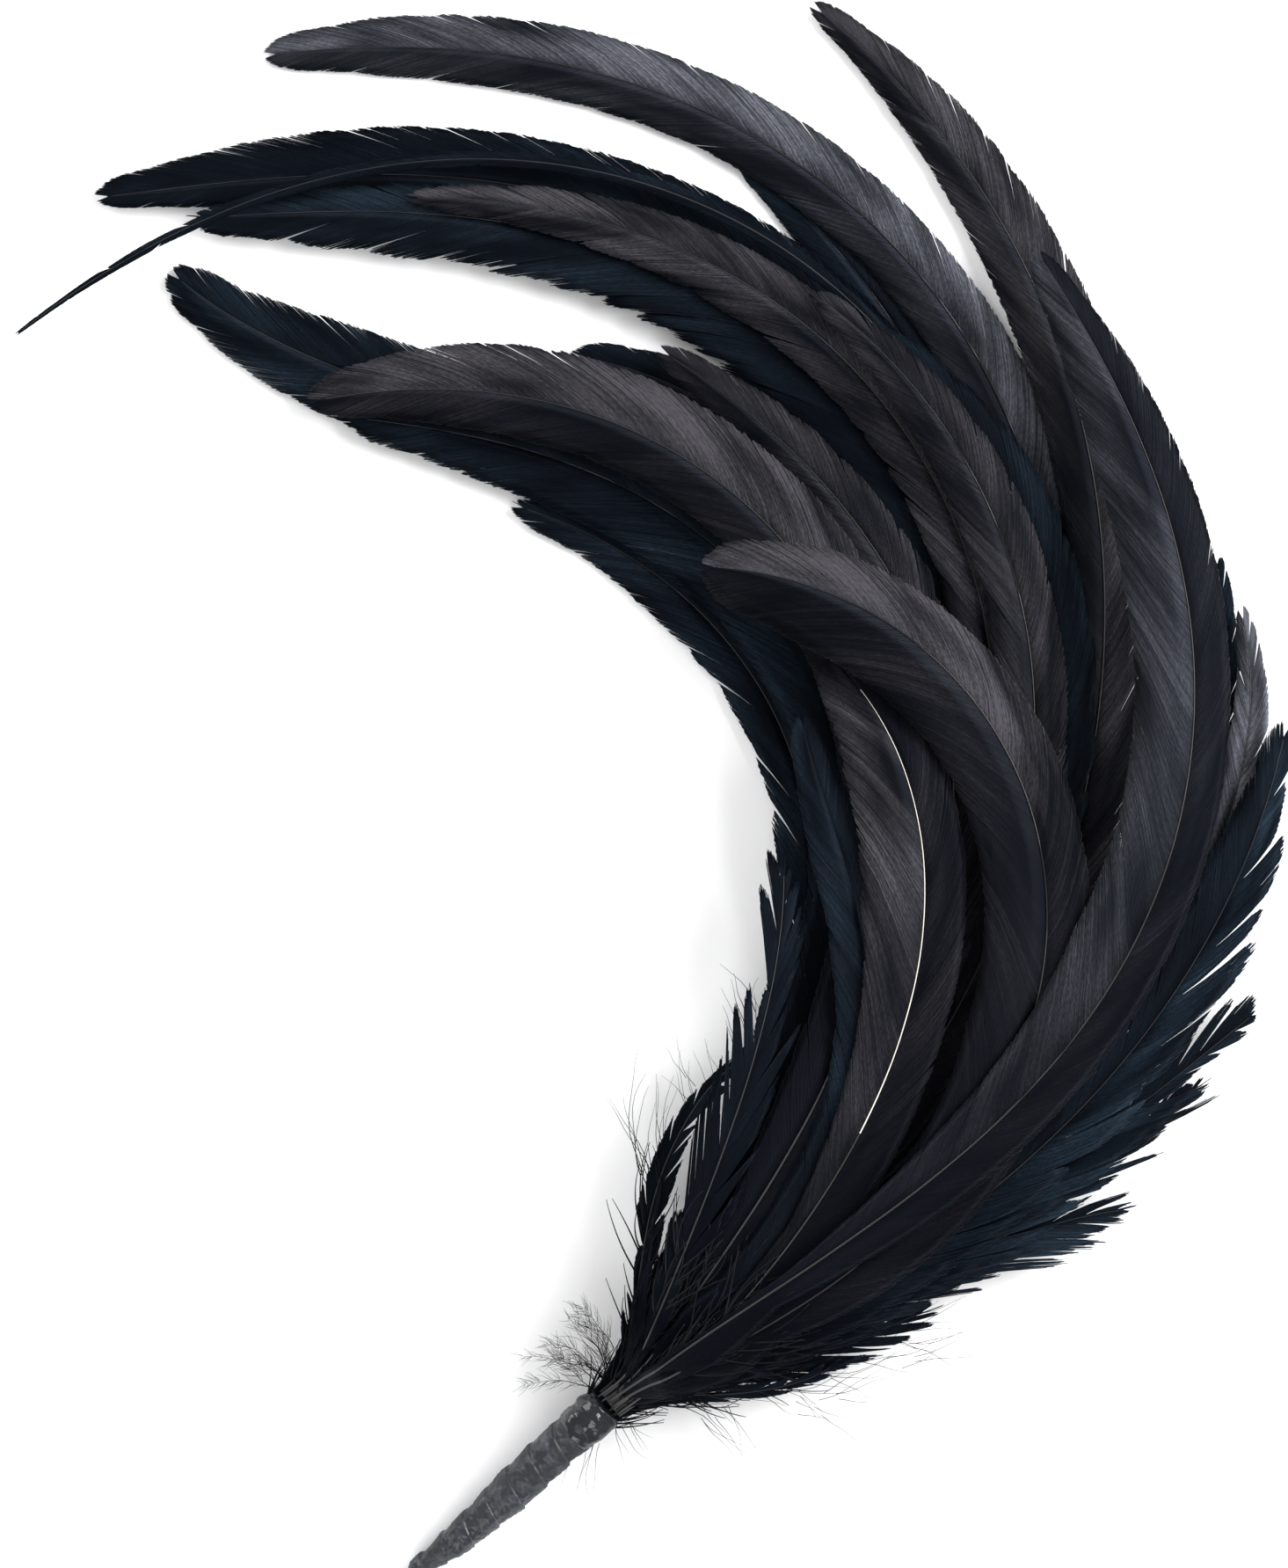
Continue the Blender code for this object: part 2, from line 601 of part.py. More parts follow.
def stand_on_base_centre(frame):
    """Moves the mount so that the origin is at the middle of its box, on the table."""
    bpy.context.view_layer.update()
    corners = []
    for obj in bpy.context.scene.objects:
        if obj.type != "EMPTY":
            corners += [obj.matrix_world @ Vector(corner) for corner in obj.bound_box]
    low = Vector([min(corner[axis] for corner in corners) for axis in range(3)])
    high = Vector([max(corner[axis] for corner in corners) for axis in range(3)])
    frame.location = (-(low.x + high.x) / 2, -(low.y + high.y) / 2, -low.z)
    bpy.context.view_layer.update()
    return frame.location


def main():
    clear_scene()
    materials = {
        "blue_vane": make_material("coque_blue_black", BLUE_BLACK, 0.42),
        "brown_vane": make_material("coque_brown_black", BROWN_BLACK, 0.45),
        "quill": make_material("quill_horn", QUILL_HORN, 0.4),
    }
    empties = make_empties()
    stem = empties[ROOT]
    make_wire(make_material("annealed_wire", WIRE_STEEL, 0.35, 1.0), stem)
    make_thread(make_material("waxed_thread", GLUE_BLACK, 0.6), stem)
    make_glue(make_material("set_glue", GLUE_BLACK, 0.2), stem)
    make_tape(make_material("florist_tape", TAPE_BLACK, 0.7), stem)
    make_feathers(materials, empties)
    shift = stand_on_base_centre(stem)
    hinge = shift + Vector((0, 0, axis_height(0)))
    end, forward = stem_plan(STEM_LENGTH)
    face = shift + Vector((*end, axis_height(STEM_LENGTH)))
    out = [round(-float(value), 6) for value in forward]
    print("hinge", [round(value, 6) for value in hinge], "bearing", STEM_BEARINGS[0])
    print("stem end", [round(value, 6) for value in face], "out", out)


main()
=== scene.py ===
# %% [markdown]
# # A black coque feather mount
#
# A coque mount is a fan of rooster tail feathers, dyed black, bound by their quills to a short wire and
# wrapped with florist tape. Milliners pin it to a hat. What the eye reads is not thirty smooth leaves but
# some twenty-eight thousand barbs, each a thin strip that leaves the shaft at a slant and lies over the
# next one like a roof tile. So the vanes here are made of barbs; their satin sheen is painted into the
# vane's colour, and the lamps add only a little gloss.

import json
import math

import bmesh
import bpy
import numpy as np
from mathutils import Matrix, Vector, noise


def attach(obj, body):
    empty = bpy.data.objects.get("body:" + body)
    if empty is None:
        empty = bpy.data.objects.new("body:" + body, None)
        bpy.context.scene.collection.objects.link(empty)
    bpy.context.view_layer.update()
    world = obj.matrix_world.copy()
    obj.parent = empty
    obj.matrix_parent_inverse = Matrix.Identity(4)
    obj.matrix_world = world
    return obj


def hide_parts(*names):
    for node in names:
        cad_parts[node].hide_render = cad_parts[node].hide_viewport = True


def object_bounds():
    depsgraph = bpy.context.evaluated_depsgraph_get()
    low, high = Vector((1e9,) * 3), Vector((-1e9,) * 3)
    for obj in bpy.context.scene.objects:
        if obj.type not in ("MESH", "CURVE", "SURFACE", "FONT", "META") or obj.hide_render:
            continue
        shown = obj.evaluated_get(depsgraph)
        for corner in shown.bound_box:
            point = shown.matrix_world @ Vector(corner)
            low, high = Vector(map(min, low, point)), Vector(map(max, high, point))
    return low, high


MM = 0.001
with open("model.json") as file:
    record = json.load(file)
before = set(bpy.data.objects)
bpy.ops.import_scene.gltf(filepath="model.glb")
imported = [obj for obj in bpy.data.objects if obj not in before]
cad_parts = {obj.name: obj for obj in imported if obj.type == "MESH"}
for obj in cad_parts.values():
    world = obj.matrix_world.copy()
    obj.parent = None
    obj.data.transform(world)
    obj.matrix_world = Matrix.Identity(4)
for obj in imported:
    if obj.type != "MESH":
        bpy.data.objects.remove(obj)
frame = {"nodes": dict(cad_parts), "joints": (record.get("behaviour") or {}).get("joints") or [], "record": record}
cad_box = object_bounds()

# %% [markdown]
# ## Where the feathers start
#
# Every feather leaves the binding along the stem. The lifting joints turn about the binding, so their
# place and axis say where the fan begins and which way it points. Reading them keeps this file free of
# numbers that the CAD already holds.

# %% The binding and the stem's direction
binding = np.array(frame["joints"][0]["pos_m"])
hinge_axis = np.array(frame["joints"][0]["axis"])
fan_forward = np.cross((0, 0, 1), hinge_axis)
fan_left = np.array((-fan_forward[1], fan_forward[0], 0))
body_of = {node: body for body, nodes in frame["record"]["behaviour"]["bodies"].items() for node in nodes}
slot_of = {part["node"]: part["material_slot"] for part in frame["record"]["subparts"]}
print("binding at", (binding / MM).round(1), "mm, forward", fan_forward.round(3))

# %% [markdown]
# ## Reading a feather's line from its solid
#
# A CAD feather is a sweep of eight-sided rings. In each ring the crown and the belly of the shaft share
# one place in plan, as do the top and bottom of each edge, and two shoulder points stand alone. That is
# enough to find every ring again: a pair of shoulders gives its middle, and the points in line with it
# are its edges. The rings are then strung together from the stem outwards.

# %% Find the rings of a swept feather
SAME_PLACE = 0.004 * MM  # points this close in plan are one above the other
IN_LINE = 0.08 * MM  # how far off a ring's own line its edges may lie


def points_of(node):
    """The places of a CAD node's corners, each once."""
    mesh = frame["nodes"][node].data
    places = np.empty(len(mesh.vertices) * 3)
    mesh.vertices.foreach_get("co", places)
    return np.unique(np.round(places.reshape(-1, 3), 6), axis=0)


def read_rings(node):
    """Each ring as (crown, belly, one edge, other edge), in no order."""
    points = points_of(node)
    apart = np.linalg.norm(points[:, None, :2] - points[None, :, :2], axis=-1)
    stacked = (apart < SAME_PLACE).sum(axis=1) > 1
    shoulders, stacks = points[~stacked], points[stacked]
    gaps = np.linalg.norm(shoulders[:, None] - shoulders[None], axis=-1) + np.eye(len(shoulders))
    mates = gaps.argmin(axis=1)
    rings = []
    for index, mate in enumerate(mates):
        if mates[mate] != index or index > mate:
            continue
        middle = (shoulders[index] + shoulders[mate]) / 2
        across = (shoulders[mate] - shoulders[index])[:2]
        across = across / np.linalg.norm(across)
        offset = stacks[:, :2] - middle[:2]
        along = offset @ across
        stray = np.abs(offset[:, 0] * across[1] - offset[:, 1] * across[0])
        nearest = np.argsort(np.linalg.norm(offset, axis=1))[:2]
        centre = stacks[nearest]
        here = (stray < IN_LINE) & ~np.isin(np.arange(len(stacks)), nearest)
        left = stacks[here & (along > 0)][np.argsort(along[here & (along > 0)])[:2]]
        right = stacks[here & (along < 0)][np.argsort(-along[here & (along < 0)])[:2]]
        if len(left) and len(right):
            crown = centre[centre[:, 2].argmax()]
            rings.append((crown, centre[centre[:, 2].argmin()], left.mean(axis=0), right.mean(axis=0)))
    return np.array(rings)


def string_rings(rings):
    """The rings in order, from the one furthest back along the stem to the tip."""
    left = list(range(len(rings)))
    chain = [int(np.argmin((rings[:, 0] - binding) @ fan_forward))]
    left.remove(chain[0])
    while left:
        last = rings[chain[-1], 0]
        chain.append(min(left, key=lambda index: np.linalg.norm(rings[index, 0] - last)))
        left.remove(chain[-1])
    return rings[chain]


# %% [markdown]
# ## One smooth line for each feather
#
# The rings stand about a centimetre apart, and barbs stand half a millimetre apart. A cubic curve through
# the rings gives the places in between, without corners. Each feather keeps its line as a dense table, with
# the width of both halves of its vane and how far their edges hang below the shaft.

# %% Turn the rings into smooth lines
SHAFT_SHARE = 1.65  # crown to belly, in shaft radii


def through(at, values, where):
    """A smooth curve through values at the given distances, read anywhere along it."""
    slopes = np.gradient(values, at, axis=0)
    index = np.clip(np.searchsorted(at, where) - 1, 0, len(at) - 2)
    span = at[index + 1] - at[index]
    share = (where - at[index]) / span
    if values.ndim > 1:
        span, share = span[:, None], share[:, None]
    square, cube = share**2, share**3
    from_values = (2 * cube - 3 * square + 1) * values[index] + (3 * square - 2 * cube) * values[index + 1]
    from_slopes = (cube - 2 * square + share) * slopes[index] + (cube - square) * slopes[index + 1]
    return from_values + from_slopes * span


class Line:
    """A feather's shaft as a dense table: place, left-hand normal, half widths and edge drops."""

    STEP = 0.25 * MM
    PAST_TIP = 8 * MM

    def __init__(self, node):
        rings = string_rings(read_rings(node))
        crown, belly, one, other = (rings[:, column] for column in range(4))
        thick = (crown - belly)[:, 2] / SHAFT_SHARE
        middle = crown - np.outer(thick, (0, 0, 1))
        walked = np.concatenate([[0], np.cumsum(np.linalg.norm(np.diff(middle, axis=0), axis=1))])
        ahead = (middle - binding) @ fan_forward
        start = np.interp(0, ahead[:6], walked[:6]) if ahead[0] < 0 else 0
        walked = walked - start
        self.length = walked[-1]
        self.first = walked[0]
        tangent = np.gradient(middle, walked, axis=0)
        left = np.stack([-tangent[:, 1], tangent[:, 0]], axis=1)
        left /= np.linalg.norm(left, axis=1)[:, None]
        swap = ((one - middle)[:, :2] * left).sum(axis=1) < 0
        inner = np.where(swap[:, None], other, one)
        outer = np.where(swap[:, None], one, other)
        self.at = np.arange(self.first, self.length, self.STEP)
        self.place = through(walked, middle, self.at)
        self.thick = through(walked, thick, self.at)
        self.widths, self.drops = [], []
        for edge in (inner, outer):
            width = np.linalg.norm((edge - middle)[:, :2], axis=1)
            self.widths.append(through(walked, width, self.at))
            self.drops.append(through(walked, (middle - edge)[:, 2], self.at))
        forward = np.gradient(self.place, self.at, axis=0)
        forward /= np.linalg.norm(forward, axis=1)[:, None]
        self.left = np.stack([-forward[:, 1], forward[:, 0], np.zeros(len(forward))], axis=1)
        self.left /= np.linalg.norm(self.left, axis=1)[:, None]
        self.end_forward = forward[-1]

    def read(self, table, where):
        """A table's values at distances along the shaft."""
        if table.ndim == 1:
            return np.interp(where, self.at, table)
        return np.stack([np.interp(where, self.at, table[:, axis]) for axis in range(3)], axis=-1)

    def spot(self, where):
        """Places along the shaft, running straight on past its end."""
        past = np.clip(where - self.at[-1], 0, self.PAST_TIP)
        return self.read(self.place, where) + past[..., None] * self.end_forward


FEATHERS = [part["node"] for part in frame["record"]["subparts"] if part["material_slot"].endswith("vane")]
lines = {name: Line(name) for name in FEATHERS}
longest = max(lines, key=lambda name: lines[name].length)
print(len(lines), "feathers; the longest is", longest, round(lines[longest].length / MM), "mm")

# %% [markdown]
# ## Strips
#
# A barb, a bit of down and a loose hair are all thin strips. Modelled one by one they would take
# thousands of operator calls, so a whole row is cut from one grid: `create_grid` makes the sheet,
# `split_edges` slits it into strips, and each strip is then moved to its place. Solidify gives them a
# thickness. A map on the strips tells the finish where on the feather it is, and a value for each corner
# says how much painted sheen the vane finish mixes in there.

# %% Strips cut from a grid
STRIP_THICKNESS = 0.09 * MM
CORNERS_OF_A_FACE = 4


def link(name, bm, body, material):
    """A piece from a finished mesh, carried by a body."""
    mesh = bpy.data.meshes.new(name)
    bm.to_mesh(mesh)
    bm.free()
    piece = bpy.data.objects.new(name, mesh)
    bpy.context.scene.collection.objects.link(piece)
    mesh.materials.append(material)
    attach(piece, body)
    return piece


def cut_strips(name, places, roots, tone, body, material, thickness=STRIP_THICKNESS):
    """One strip for each column of places, an array (strips, rows, 2 edges, 3)."""
    count, rows = places.shape[0], places.shape[1] - 1
    bm = bmesh.new()
    bmesh.ops.create_grid(bm, x_segments=count, y_segments=rows, size=1)
    seams = [e for e in bm.edges if not e.is_boundary and abs(e.verts[0].co.x - e.verts[1].co.x) < 1e-5]
    bmesh.ops.split_edges(bm, edges=seams)
    piece = link(name, bm, body, material)
    mesh = piece.data
    corners = np.empty(len(mesh.vertices) * 3)
    mesh.vertices.foreach_get("co", corners)
    corners = (corners.reshape(-1, 3) + 1) / 2
    centres = np.empty(len(mesh.polygons) * 3)
    mesh.polygons.foreach_get("center", centres)
    strip_of_face = ((centres.reshape(-1, 3)[:, 0] + 1) / 2 * count).astype(int)
    loops = np.empty(len(mesh.loops), int)
    mesh.loops.foreach_get("vertex_index", loops)
    strip = np.empty(len(corners), int)
    strip[loops] = np.repeat(strip_of_face, CORNERS_OF_A_FACE)
    edge = np.clip(np.rint(corners[:, 0] * count).astype(int) - strip, 0, 1)
    row = np.rint(corners[:, 1] * rows).astype(int)
    mesh.vertices.foreach_set("co", places[strip, row, edge].ravel())
    layer = mesh.uv_layers.new(name="barb")
    along = np.stack([roots[strip], row / rows], axis=1)
    layer.uv.foreach_set("vector", along[loops].ravel())
    mesh.attributes.new("tone", "FLOAT", "POINT").data.foreach_set("value", tone[strip, row])
    mesh.shade_smooth()
    wall = piece.modifiers.new("thickness", "SOLIDIFY")
    wall.thickness = thickness
    wall.offset = 0
    wall.use_even_offset = False
    mesh.update()
    return piece


# %% [markdown]
# ## Tubes
#
# A shaft, the tape and the glue are tubes: a grid again, rolled up, merged along its seam and capped at its
# ends. Each ring and each side has its own radius, so one function makes a smooth shaft and lumpy glue.

# %% Tubes rolled from a grid
SEAM_GAP = 1e-4 * MM
SHARP_ANGLE = math.radians(60)


def roll_tube(name, centres, lefts, ups, radii, body, material):
    """A closed tube round centres, with a radius for each ring and side (rings, sides)."""
    rings, sides = radii.shape
    bm = bmesh.new()
    bmesh.ops.create_grid(bm, x_segments=rings - 1, y_segments=sides, size=1)
    for corner in bm.verts:
        ring = round((corner.co.x + 1) / 2 * (rings - 1))
        side = round((corner.co.y + 1) / 2 * sides) % sides
        angle = 2 * math.pi * side / sides
        radius = radii[ring, side]
        corner.co = centres[ring] + (lefts[ring] * math.cos(angle) + ups[ring] * math.sin(angle)) * radius
    bmesh.ops.remove_doubles(bm, verts=bm.verts, dist=SEAM_GAP)
    bmesh.ops.holes_fill(bm, edges=[e for e in bm.edges if e.is_boundary], sides=sides)
    bmesh.ops.recalc_face_normals(bm, faces=bm.faces)
    piece = link(name, bm, body, material)
    piece.data.shade_smooth()
    piece.data.set_sharp_from_angle(angle=SHARP_ANGLE)
    return piece


# %% [markdown]
# ## Finishes
#
# Each finish starts from a real material and how its surface was made. Colours are picked as sRGB, which
# is how a colour chart gives them, and one function turns them to the linear values that light is worked
# out in. One function adds a node with its settings and links, so that a finish reads as a list of nodes.

# %% Colour and node helpers

def rgb(code):
    """sRGB hex to linear RGBA."""
    values = [int(code[index : index + 2], 16) / 255 for index in (1, 3, 5)]
    return tuple(v / 12.92 if v <= 0.04045 else ((v + 0.055) / 1.055) ** 2.4 for v in values) + (1.0,)


def add(tree, kind, inputs=None, **settings):
    """Adds a node. An input is a value, or a socket to link to it."""
    made = tree.nodes.new(kind)
    for key, value in settings.items():
        setattr(made, key, value)
    for key, value in (inputs or {}).items():
        if isinstance(value, bpy.types.NodeSocket):
            tree.links.new(value, made.inputs[key])
        else:
            made.inputs[key].default_value = value
    return made


def start_material(name):
    """A new material with its node tree and its shader."""
    material = bpy.data.materials.new(name)
    material.use_nodes = True
    tree = material.node_tree
    return material, tree, tree.nodes["Principled BSDF"]


def mix_colours(tree, share, first, second):
    """The colour between two colours, each a value or a socket."""
    mixed = add(tree, "ShaderNodeMix", {0: share}, data_type="RGBA")
    for index, value in ((6, first), (7, second)):
        if isinstance(value, bpy.types.NodeSocket):
            tree.links.new(value, mixed.inputs[index])
        else:
            mixed.inputs[index].default_value = value
    return mixed.outputs[2]


# %% [markdown]
# ## Dyed vane
#
# Dyed coque is keratin: a dark, slightly glossy horn. Its vane looks satin because its barbs are fine and
# parallel, so the gloss spreads along them. Here that satin sheen is painted into the colour: the near-black
# dye is mixed towards a sheen colour as far as a value on each strip corner says, and each barb differs a
# little from the next in painted sheen and in gloss. The pattern follows the barbs through the strip's own
# map: across is the distance along the shaft in mm, and up is the share of the way along the barb. The dye
# is nearly the same black in all three kinds; they differ in the painted sheen: blue, brown and satin grey.

# %% Dyed vane
BARB_SPACING = 0.5 * MM  # real barbs stand 0.3 to 0.4 mm apart: drawn a little coarser, so that they show
# Streaks, glints and patches below break up the painted sheen; streaks also vary the roughness.
STREAK_SCALE = (1.6, 0.5, 1)  # a streak is one barb wide, about 0.6 mm, and runs its whole length
PAINTED_GLINT_SCALE = (2.0, 26.0, 1)  # painted glints, flecks of 0.5 mm, much coarser than the barbules that glint on a real vane
SHEEN_PATCH_SCALE = (0.045, 0.9, 1)  # painted sheen patches of about 22 mm, where the vane tilts towards the light
KERATIN_IOR = 1.54


def vane_material(name, deep, sheen, roughness, specular):
    """Dyed coque vane: near-black dye with a painted satin sheen, mixed in by a value on each corner and broken up
    by streaks, glints and patches.
    """
    material, tree, shader = start_material(name)
    # The attribute read here is how much painted sheen each corner of a barb gets.
    tone = add(tree, "ShaderNodeAttribute", attribute_name="tone").outputs["Fac"]
    along = add(tree, "ShaderNodeUVMap", uv_map="barb").outputs["UV"]
    streaks = add(tree, "ShaderNodeMapping", {"Vector": along, "Scale": STREAK_SCALE})
    streak = add(tree, "ShaderNodeTexNoise", {"Vector": streaks.outputs[0], "Scale": 1.0, "Detail": 5.0})
    glint_spots = add(tree, "ShaderNodeMapping", {"Vector": along, "Scale": PAINTED_GLINT_SCALE})
    painted_glint = add(tree, "ShaderNodeTexNoise", {"Vector": glint_spots.outputs[0], "Scale": 1.0, "Detail": 2.0})
    sheen_patches = add(tree, "ShaderNodeMapping", {"Vector": along, "Scale": SHEEN_PATCH_SCALE})
    sheen_patch = add(tree, "ShaderNodeTexNoise", {"Vector": sheen_patches.outputs[0], "Scale": 1.0, "Detail": 2.0})
    ranges = ((streak, 0.3, 0.7, 0.3, 1.6), (painted_glint, 0.35, 0.7, 0.6, 1.5), (sheen_patch, 0.36, 0.64, 0.12, 1.15))
    pattern = None
    for source, low, high, dim, bright in ranges:
        steps = {0: source.outputs["Fac"], 1: low, 2: high, 3: dim, 4: bright}
        share = add(tree, "ShaderNodeMapRange", steps).outputs[0]
        if pattern:
            share = add(tree, "ShaderNodeMath", {0: pattern, 1: share}, operation="MULTIPLY").outputs[0]
        pattern = share
    # The painted sheen: the deep colour turns towards the sheen colour by this share.
    lit = add(tree, "ShaderNodeMath", {0: tone, 1: pattern}, operation="MULTIPLY", use_clamp=True).outputs[0]
    tree.links.new(mix_colours(tree, lit, rgb(deep), rgb(sheen)), shader.inputs["Base Color"])
    steps = {0: streak.outputs["Fac"], 1: 0.3, 2: 0.7, 3: roughness + 0.08, 4: roughness - 0.08}
    rough = add(tree, "ShaderNodeMapRange", steps)
    tree.links.new(rough.outputs[0], shader.inputs["Roughness"])
    shader.inputs["Specular IOR Level"].default_value = specular
    shader.inputs["Specular Tint"].default_value = rgb("#c4d2f0")
    shader.inputs["IOR"].default_value = KERATIN_IOR
    return material


# Each finish pairs the near-black dye with the colour of its painted sheen.
finishes = {
    "blue_vane": vane_material("coque_dyed_blue_black", "#020307", "#263440", 0.45, 0.08),
    "brown_vane": vane_material("coque_dyed_brown_black", "#020206", "#4d4b50", 0.45, 0.08),
    "grey_vane": vane_material("coque_dyed_grey_satin", "#030408", "#7b7d87", 0.45, 0.10),
}


# %% [markdown]
# ## Horn, tape, glue, thread and wire
#
# A shaft is polished horn. The tape is crepe paper with wax in it, which is dull in its creases and shines
# where a thumb has rubbed it down. Hot glue sets like glass, waxed thread is matt, and annealed wire is bare
# steel that has gone grey. Their grain lies in the object's own coordinates.

# %% Horn, tape, glue, thread and wire
def shaft_material(name, colour, tip_colour, roughness):
    """A feather's shaft: polished horn, from the dye's black to undyed cream."""
    material, tree, shader = start_material(name)
    place = add(tree, "ShaderNodeTexCoord").outputs["Object"]
    # Scale 220 to the metre: clouds of dye about 4.5 mm long.
    mottle = add(tree, "ShaderNodeTexNoise", {"Vector": place, "Scale": 220.0, "Detail": 3.0}).outputs["Fac"]
    tree.links.new(mix_colours(tree, mottle, rgb(colour), rgb(tip_colour)), shader.inputs["Base Color"])
    shader.inputs["Roughness"].default_value = roughness
    shader.inputs["IOR"].default_value = KERATIN_IOR
    return material


def tape_material():
    """Waxed crepe paper: blue-grey black, scuffed paler on its ridges, with a dull wax shine."""
    material, tree, shader = start_material("florist_tape_waxed_crepe")
    place = add(tree, "ShaderNodeTexCoord").outputs["Object"]
    # Scuffs about 2.4 mm long, on clouds of wax about 9 mm across.
    fine = {"Vector": place, "Scale": 420.0, "Detail": 6.0, "Roughness": 0.65}
    scuffs = add(tree, "ShaderNodeTexNoise", fine)
    cloud = add(tree, "ShaderNodeTexNoise", {"Vector": place, "Scale": 110.0, "Detail": 3.0})
    steps = {0: scuffs.outputs["Fac"], 1: 0.5, 2: 0.75, 3: 0.0, 4: 1.0}
    share = add(tree, "ShaderNodeMapRange", steps).outputs[0]
    tint = mix_colours(tree, cloud.outputs["Fac"], rgb("#0c0e12"), rgb("#22272e"))
    tree.links.new(mix_colours(tree, share, tint, rgb("#474d55")), shader.inputs["Base Color"])
    rough = add(tree, "ShaderNodeMapRange", {0: cloud.outputs["Fac"], 1: 0.35, 2: 0.7, 3: 0.7, 4: 0.3})
    tree.links.new(rough.outputs[0], shader.inputs["Roughness"])
    relief = {"Height": scuffs.outputs["Fac"], "Strength": 0.5, "Distance": 0.2 * MM}
    bump = add(tree, "ShaderNodeBump", relief)
    tree.links.new(bump.outputs[0], shader.inputs["Normal"])
    return material


def plain_material(name, low, high, roughness, scale, bump_depth, metallic=0.0, specular=0.5):
    """Two close shades in a fine grain, with the same grain as a slight relief."""
    material, tree, shader = start_material(name)
    place = add(tree, "ShaderNodeTexCoord").outputs["Object"]
    grain = add(tree, "ShaderNodeTexNoise", {"Vector": place, "Scale": scale, "Detail": 4.0}).outputs["Fac"]
    tree.links.new(mix_colours(tree, grain, rgb(low), rgb(high)), shader.inputs["Base Color"])
    shader.inputs["Roughness"].default_value = roughness
    shader.inputs["Metallic"].default_value = metallic
    shader.inputs["Specular IOR Level"].default_value = specular
    bump = add(tree, "ShaderNodeBump", {"Height": grain, "Strength": 0.6, "Distance": bump_depth})
    tree.links.new(bump.outputs[0], shader.inputs["Normal"])
    return material


# Dyed shafts are as dark as the vane but catch a thin line of light.
black_horn = shaft_material("quill_horn_dyed", "#050508", "#101014", 0.45)
# Where the dye missed, the shaft is the bird's own cream horn.
pale_horn = shaft_material("quill_horn_undyed", "#cfc6b6", "#f1ece2", 0.35)
tape_finish = tape_material()
# Clear-edged highlights on black: lumps 2 mm across.
glue_finish = plain_material("hot_glue_set", "#0d0d10", "#26282d", 0.16, 500.0, 0.25 * MM)
# Waxed thread: matt black with a fibrous grain of 0.4 mm.
thread_finish = plain_material("binding_thread_waxed", "#0b0b0e", "#202128", 0.55, 2500.0, 0.05 * MM)
# Annealed steel wire: grey metal with a soft shine, mottled about every millimetre.
wire_finish = plain_material("stub_wire_annealed", "#5a5a5c", "#77777a", 0.35, 900.0, 0.02 * MM, 1.0)
# Down scatters light: matt, and darker than the vane as nothing in it lies flat enough to mirror a lamp.
down_finish = plain_material("down_dyed", "#040509", "#0e1016", 0.6, 900.0, 0.01 * MM, 0.0, 0.15)

# %% [markdown]
# ## How the feathers differ
#
# Feathers of one kind are told apart by two things: how light each half of the vane looks, which stands
# for how it tilts to the lamps, and how ragged it is, from 0 for a preened vane to 1 for a frayed one.
# Those at the rim and the foot of the fan are the most ragged.

# %% How each feather differs: painted sheen of the inner and outer half, raggedness
LOOKS = {
    "crest_under": (0.16, 0.22, 0.12),
    "peek_small": (0.3, 0.25, 0.12),
    "inner_blue": (0.3, 0.2, 0.35),
    "upper_low_sickle": (0.2, 0.25, 0.35),
    "lower_left_sickle": (0.25, 0.22, 0.12),
    "crest_sickle": (0.07, 0.42, 0.12),
    "under_fringe": (0.15, 0.15, 0.9),
    "broad_left_under": (0.3, 0.22, 0.12),
    "upper_left_sickle": (0.1, 0.14, 0.08),
    "spire_sickle": (0.22, 0.55, 0.15),
    "low_fringe": (0.2, 0.45, 0.9),
    "rim_split_low": (0.1, 0.35, 0.8),
    "base_strand": (0.2, 0.2, 0.9),
    "upper_mid_sickle": (0.2, 0.3, 0.3),
    "rim_split_high": (0.15, 0.35, 0.8),
    "mid_fan_c": (0.25, 0.3, 0.35),
    "rim_point": (0.25, 0.35, 0.3),
    "rim_grey": (0.45, 0.95, 0.3),
    "rim_sickle": (0.2, 0.6, 0.55),
    "sheen_sickle": (0.35, 0.5, 0.25),
    "ribbon_sickle": (0.1, 0.2, 0.3),
    "mid_fan_b": (0.3, 0.38, 0.3),
    "base_curl": (0.2, 0.2, 0.8),
    "mid_fan_a": (0.2, 0.4, 0.3),
    "broad_left": (0.1, 0.5, 0.12),
    "inner_short": (0.15, 0.15, 0.9),
    "pale_quill_left": (0.35, 0.3, 0.15),
    "pale_quill": (0.38, 0.12, 0.15),
    "curled_top": (0.1, 1.0, 0.08),
    "outer_sickle": (0.16, 0.04, 0.06),
}
print(len(LOOKS), "looks for", len(FEATHERS), "feathers")

# %% [markdown]
# ## Where a barb ends
#
# A barb leaves the shaft at a slant and bends towards the tip. Its length is whatever brings its end to
# the vane's outline, so the slant and the outline together give the serrated edge. The end is found by
# walking outwards in small steps until the outline is passed.

# %% The outline, and each barb's reach
TIP_ROUND = 11 * MM  # the length over which a vane's tip is rounded
BASE_SLANT, MID_SLANT, TIP_SLANT = 20, 27, 14  # degrees between a barb and the shaft
REACH_STEPS = 90


def outline(line, side, where):
    """Half width of the vane: the solid's, filled out at the foot by loose barbs."""
    foot = np.interp(where, (3 * MM, 10 * MM, 30 * MM, 60 * MM), (0, 2.5 * MM, 6 * MM, 0))
    foot = np.minimum(foot, 0.9 * np.max(line.widths[side]))
    width = np.maximum(line.read(line.widths[side], where), foot)
    blunt = min(TIP_ROUND, line.length / 6)
    past = np.clip((where - line.length + blunt) / blunt, 0, 1)
    at_blunt = line.read(line.widths[side], np.array([line.length - blunt]))[0]
    width = np.where(past > 0, np.maximum(width, at_blunt * np.sqrt(1 - past**2)), width)
    return np.where(where < line.length, width, 0)


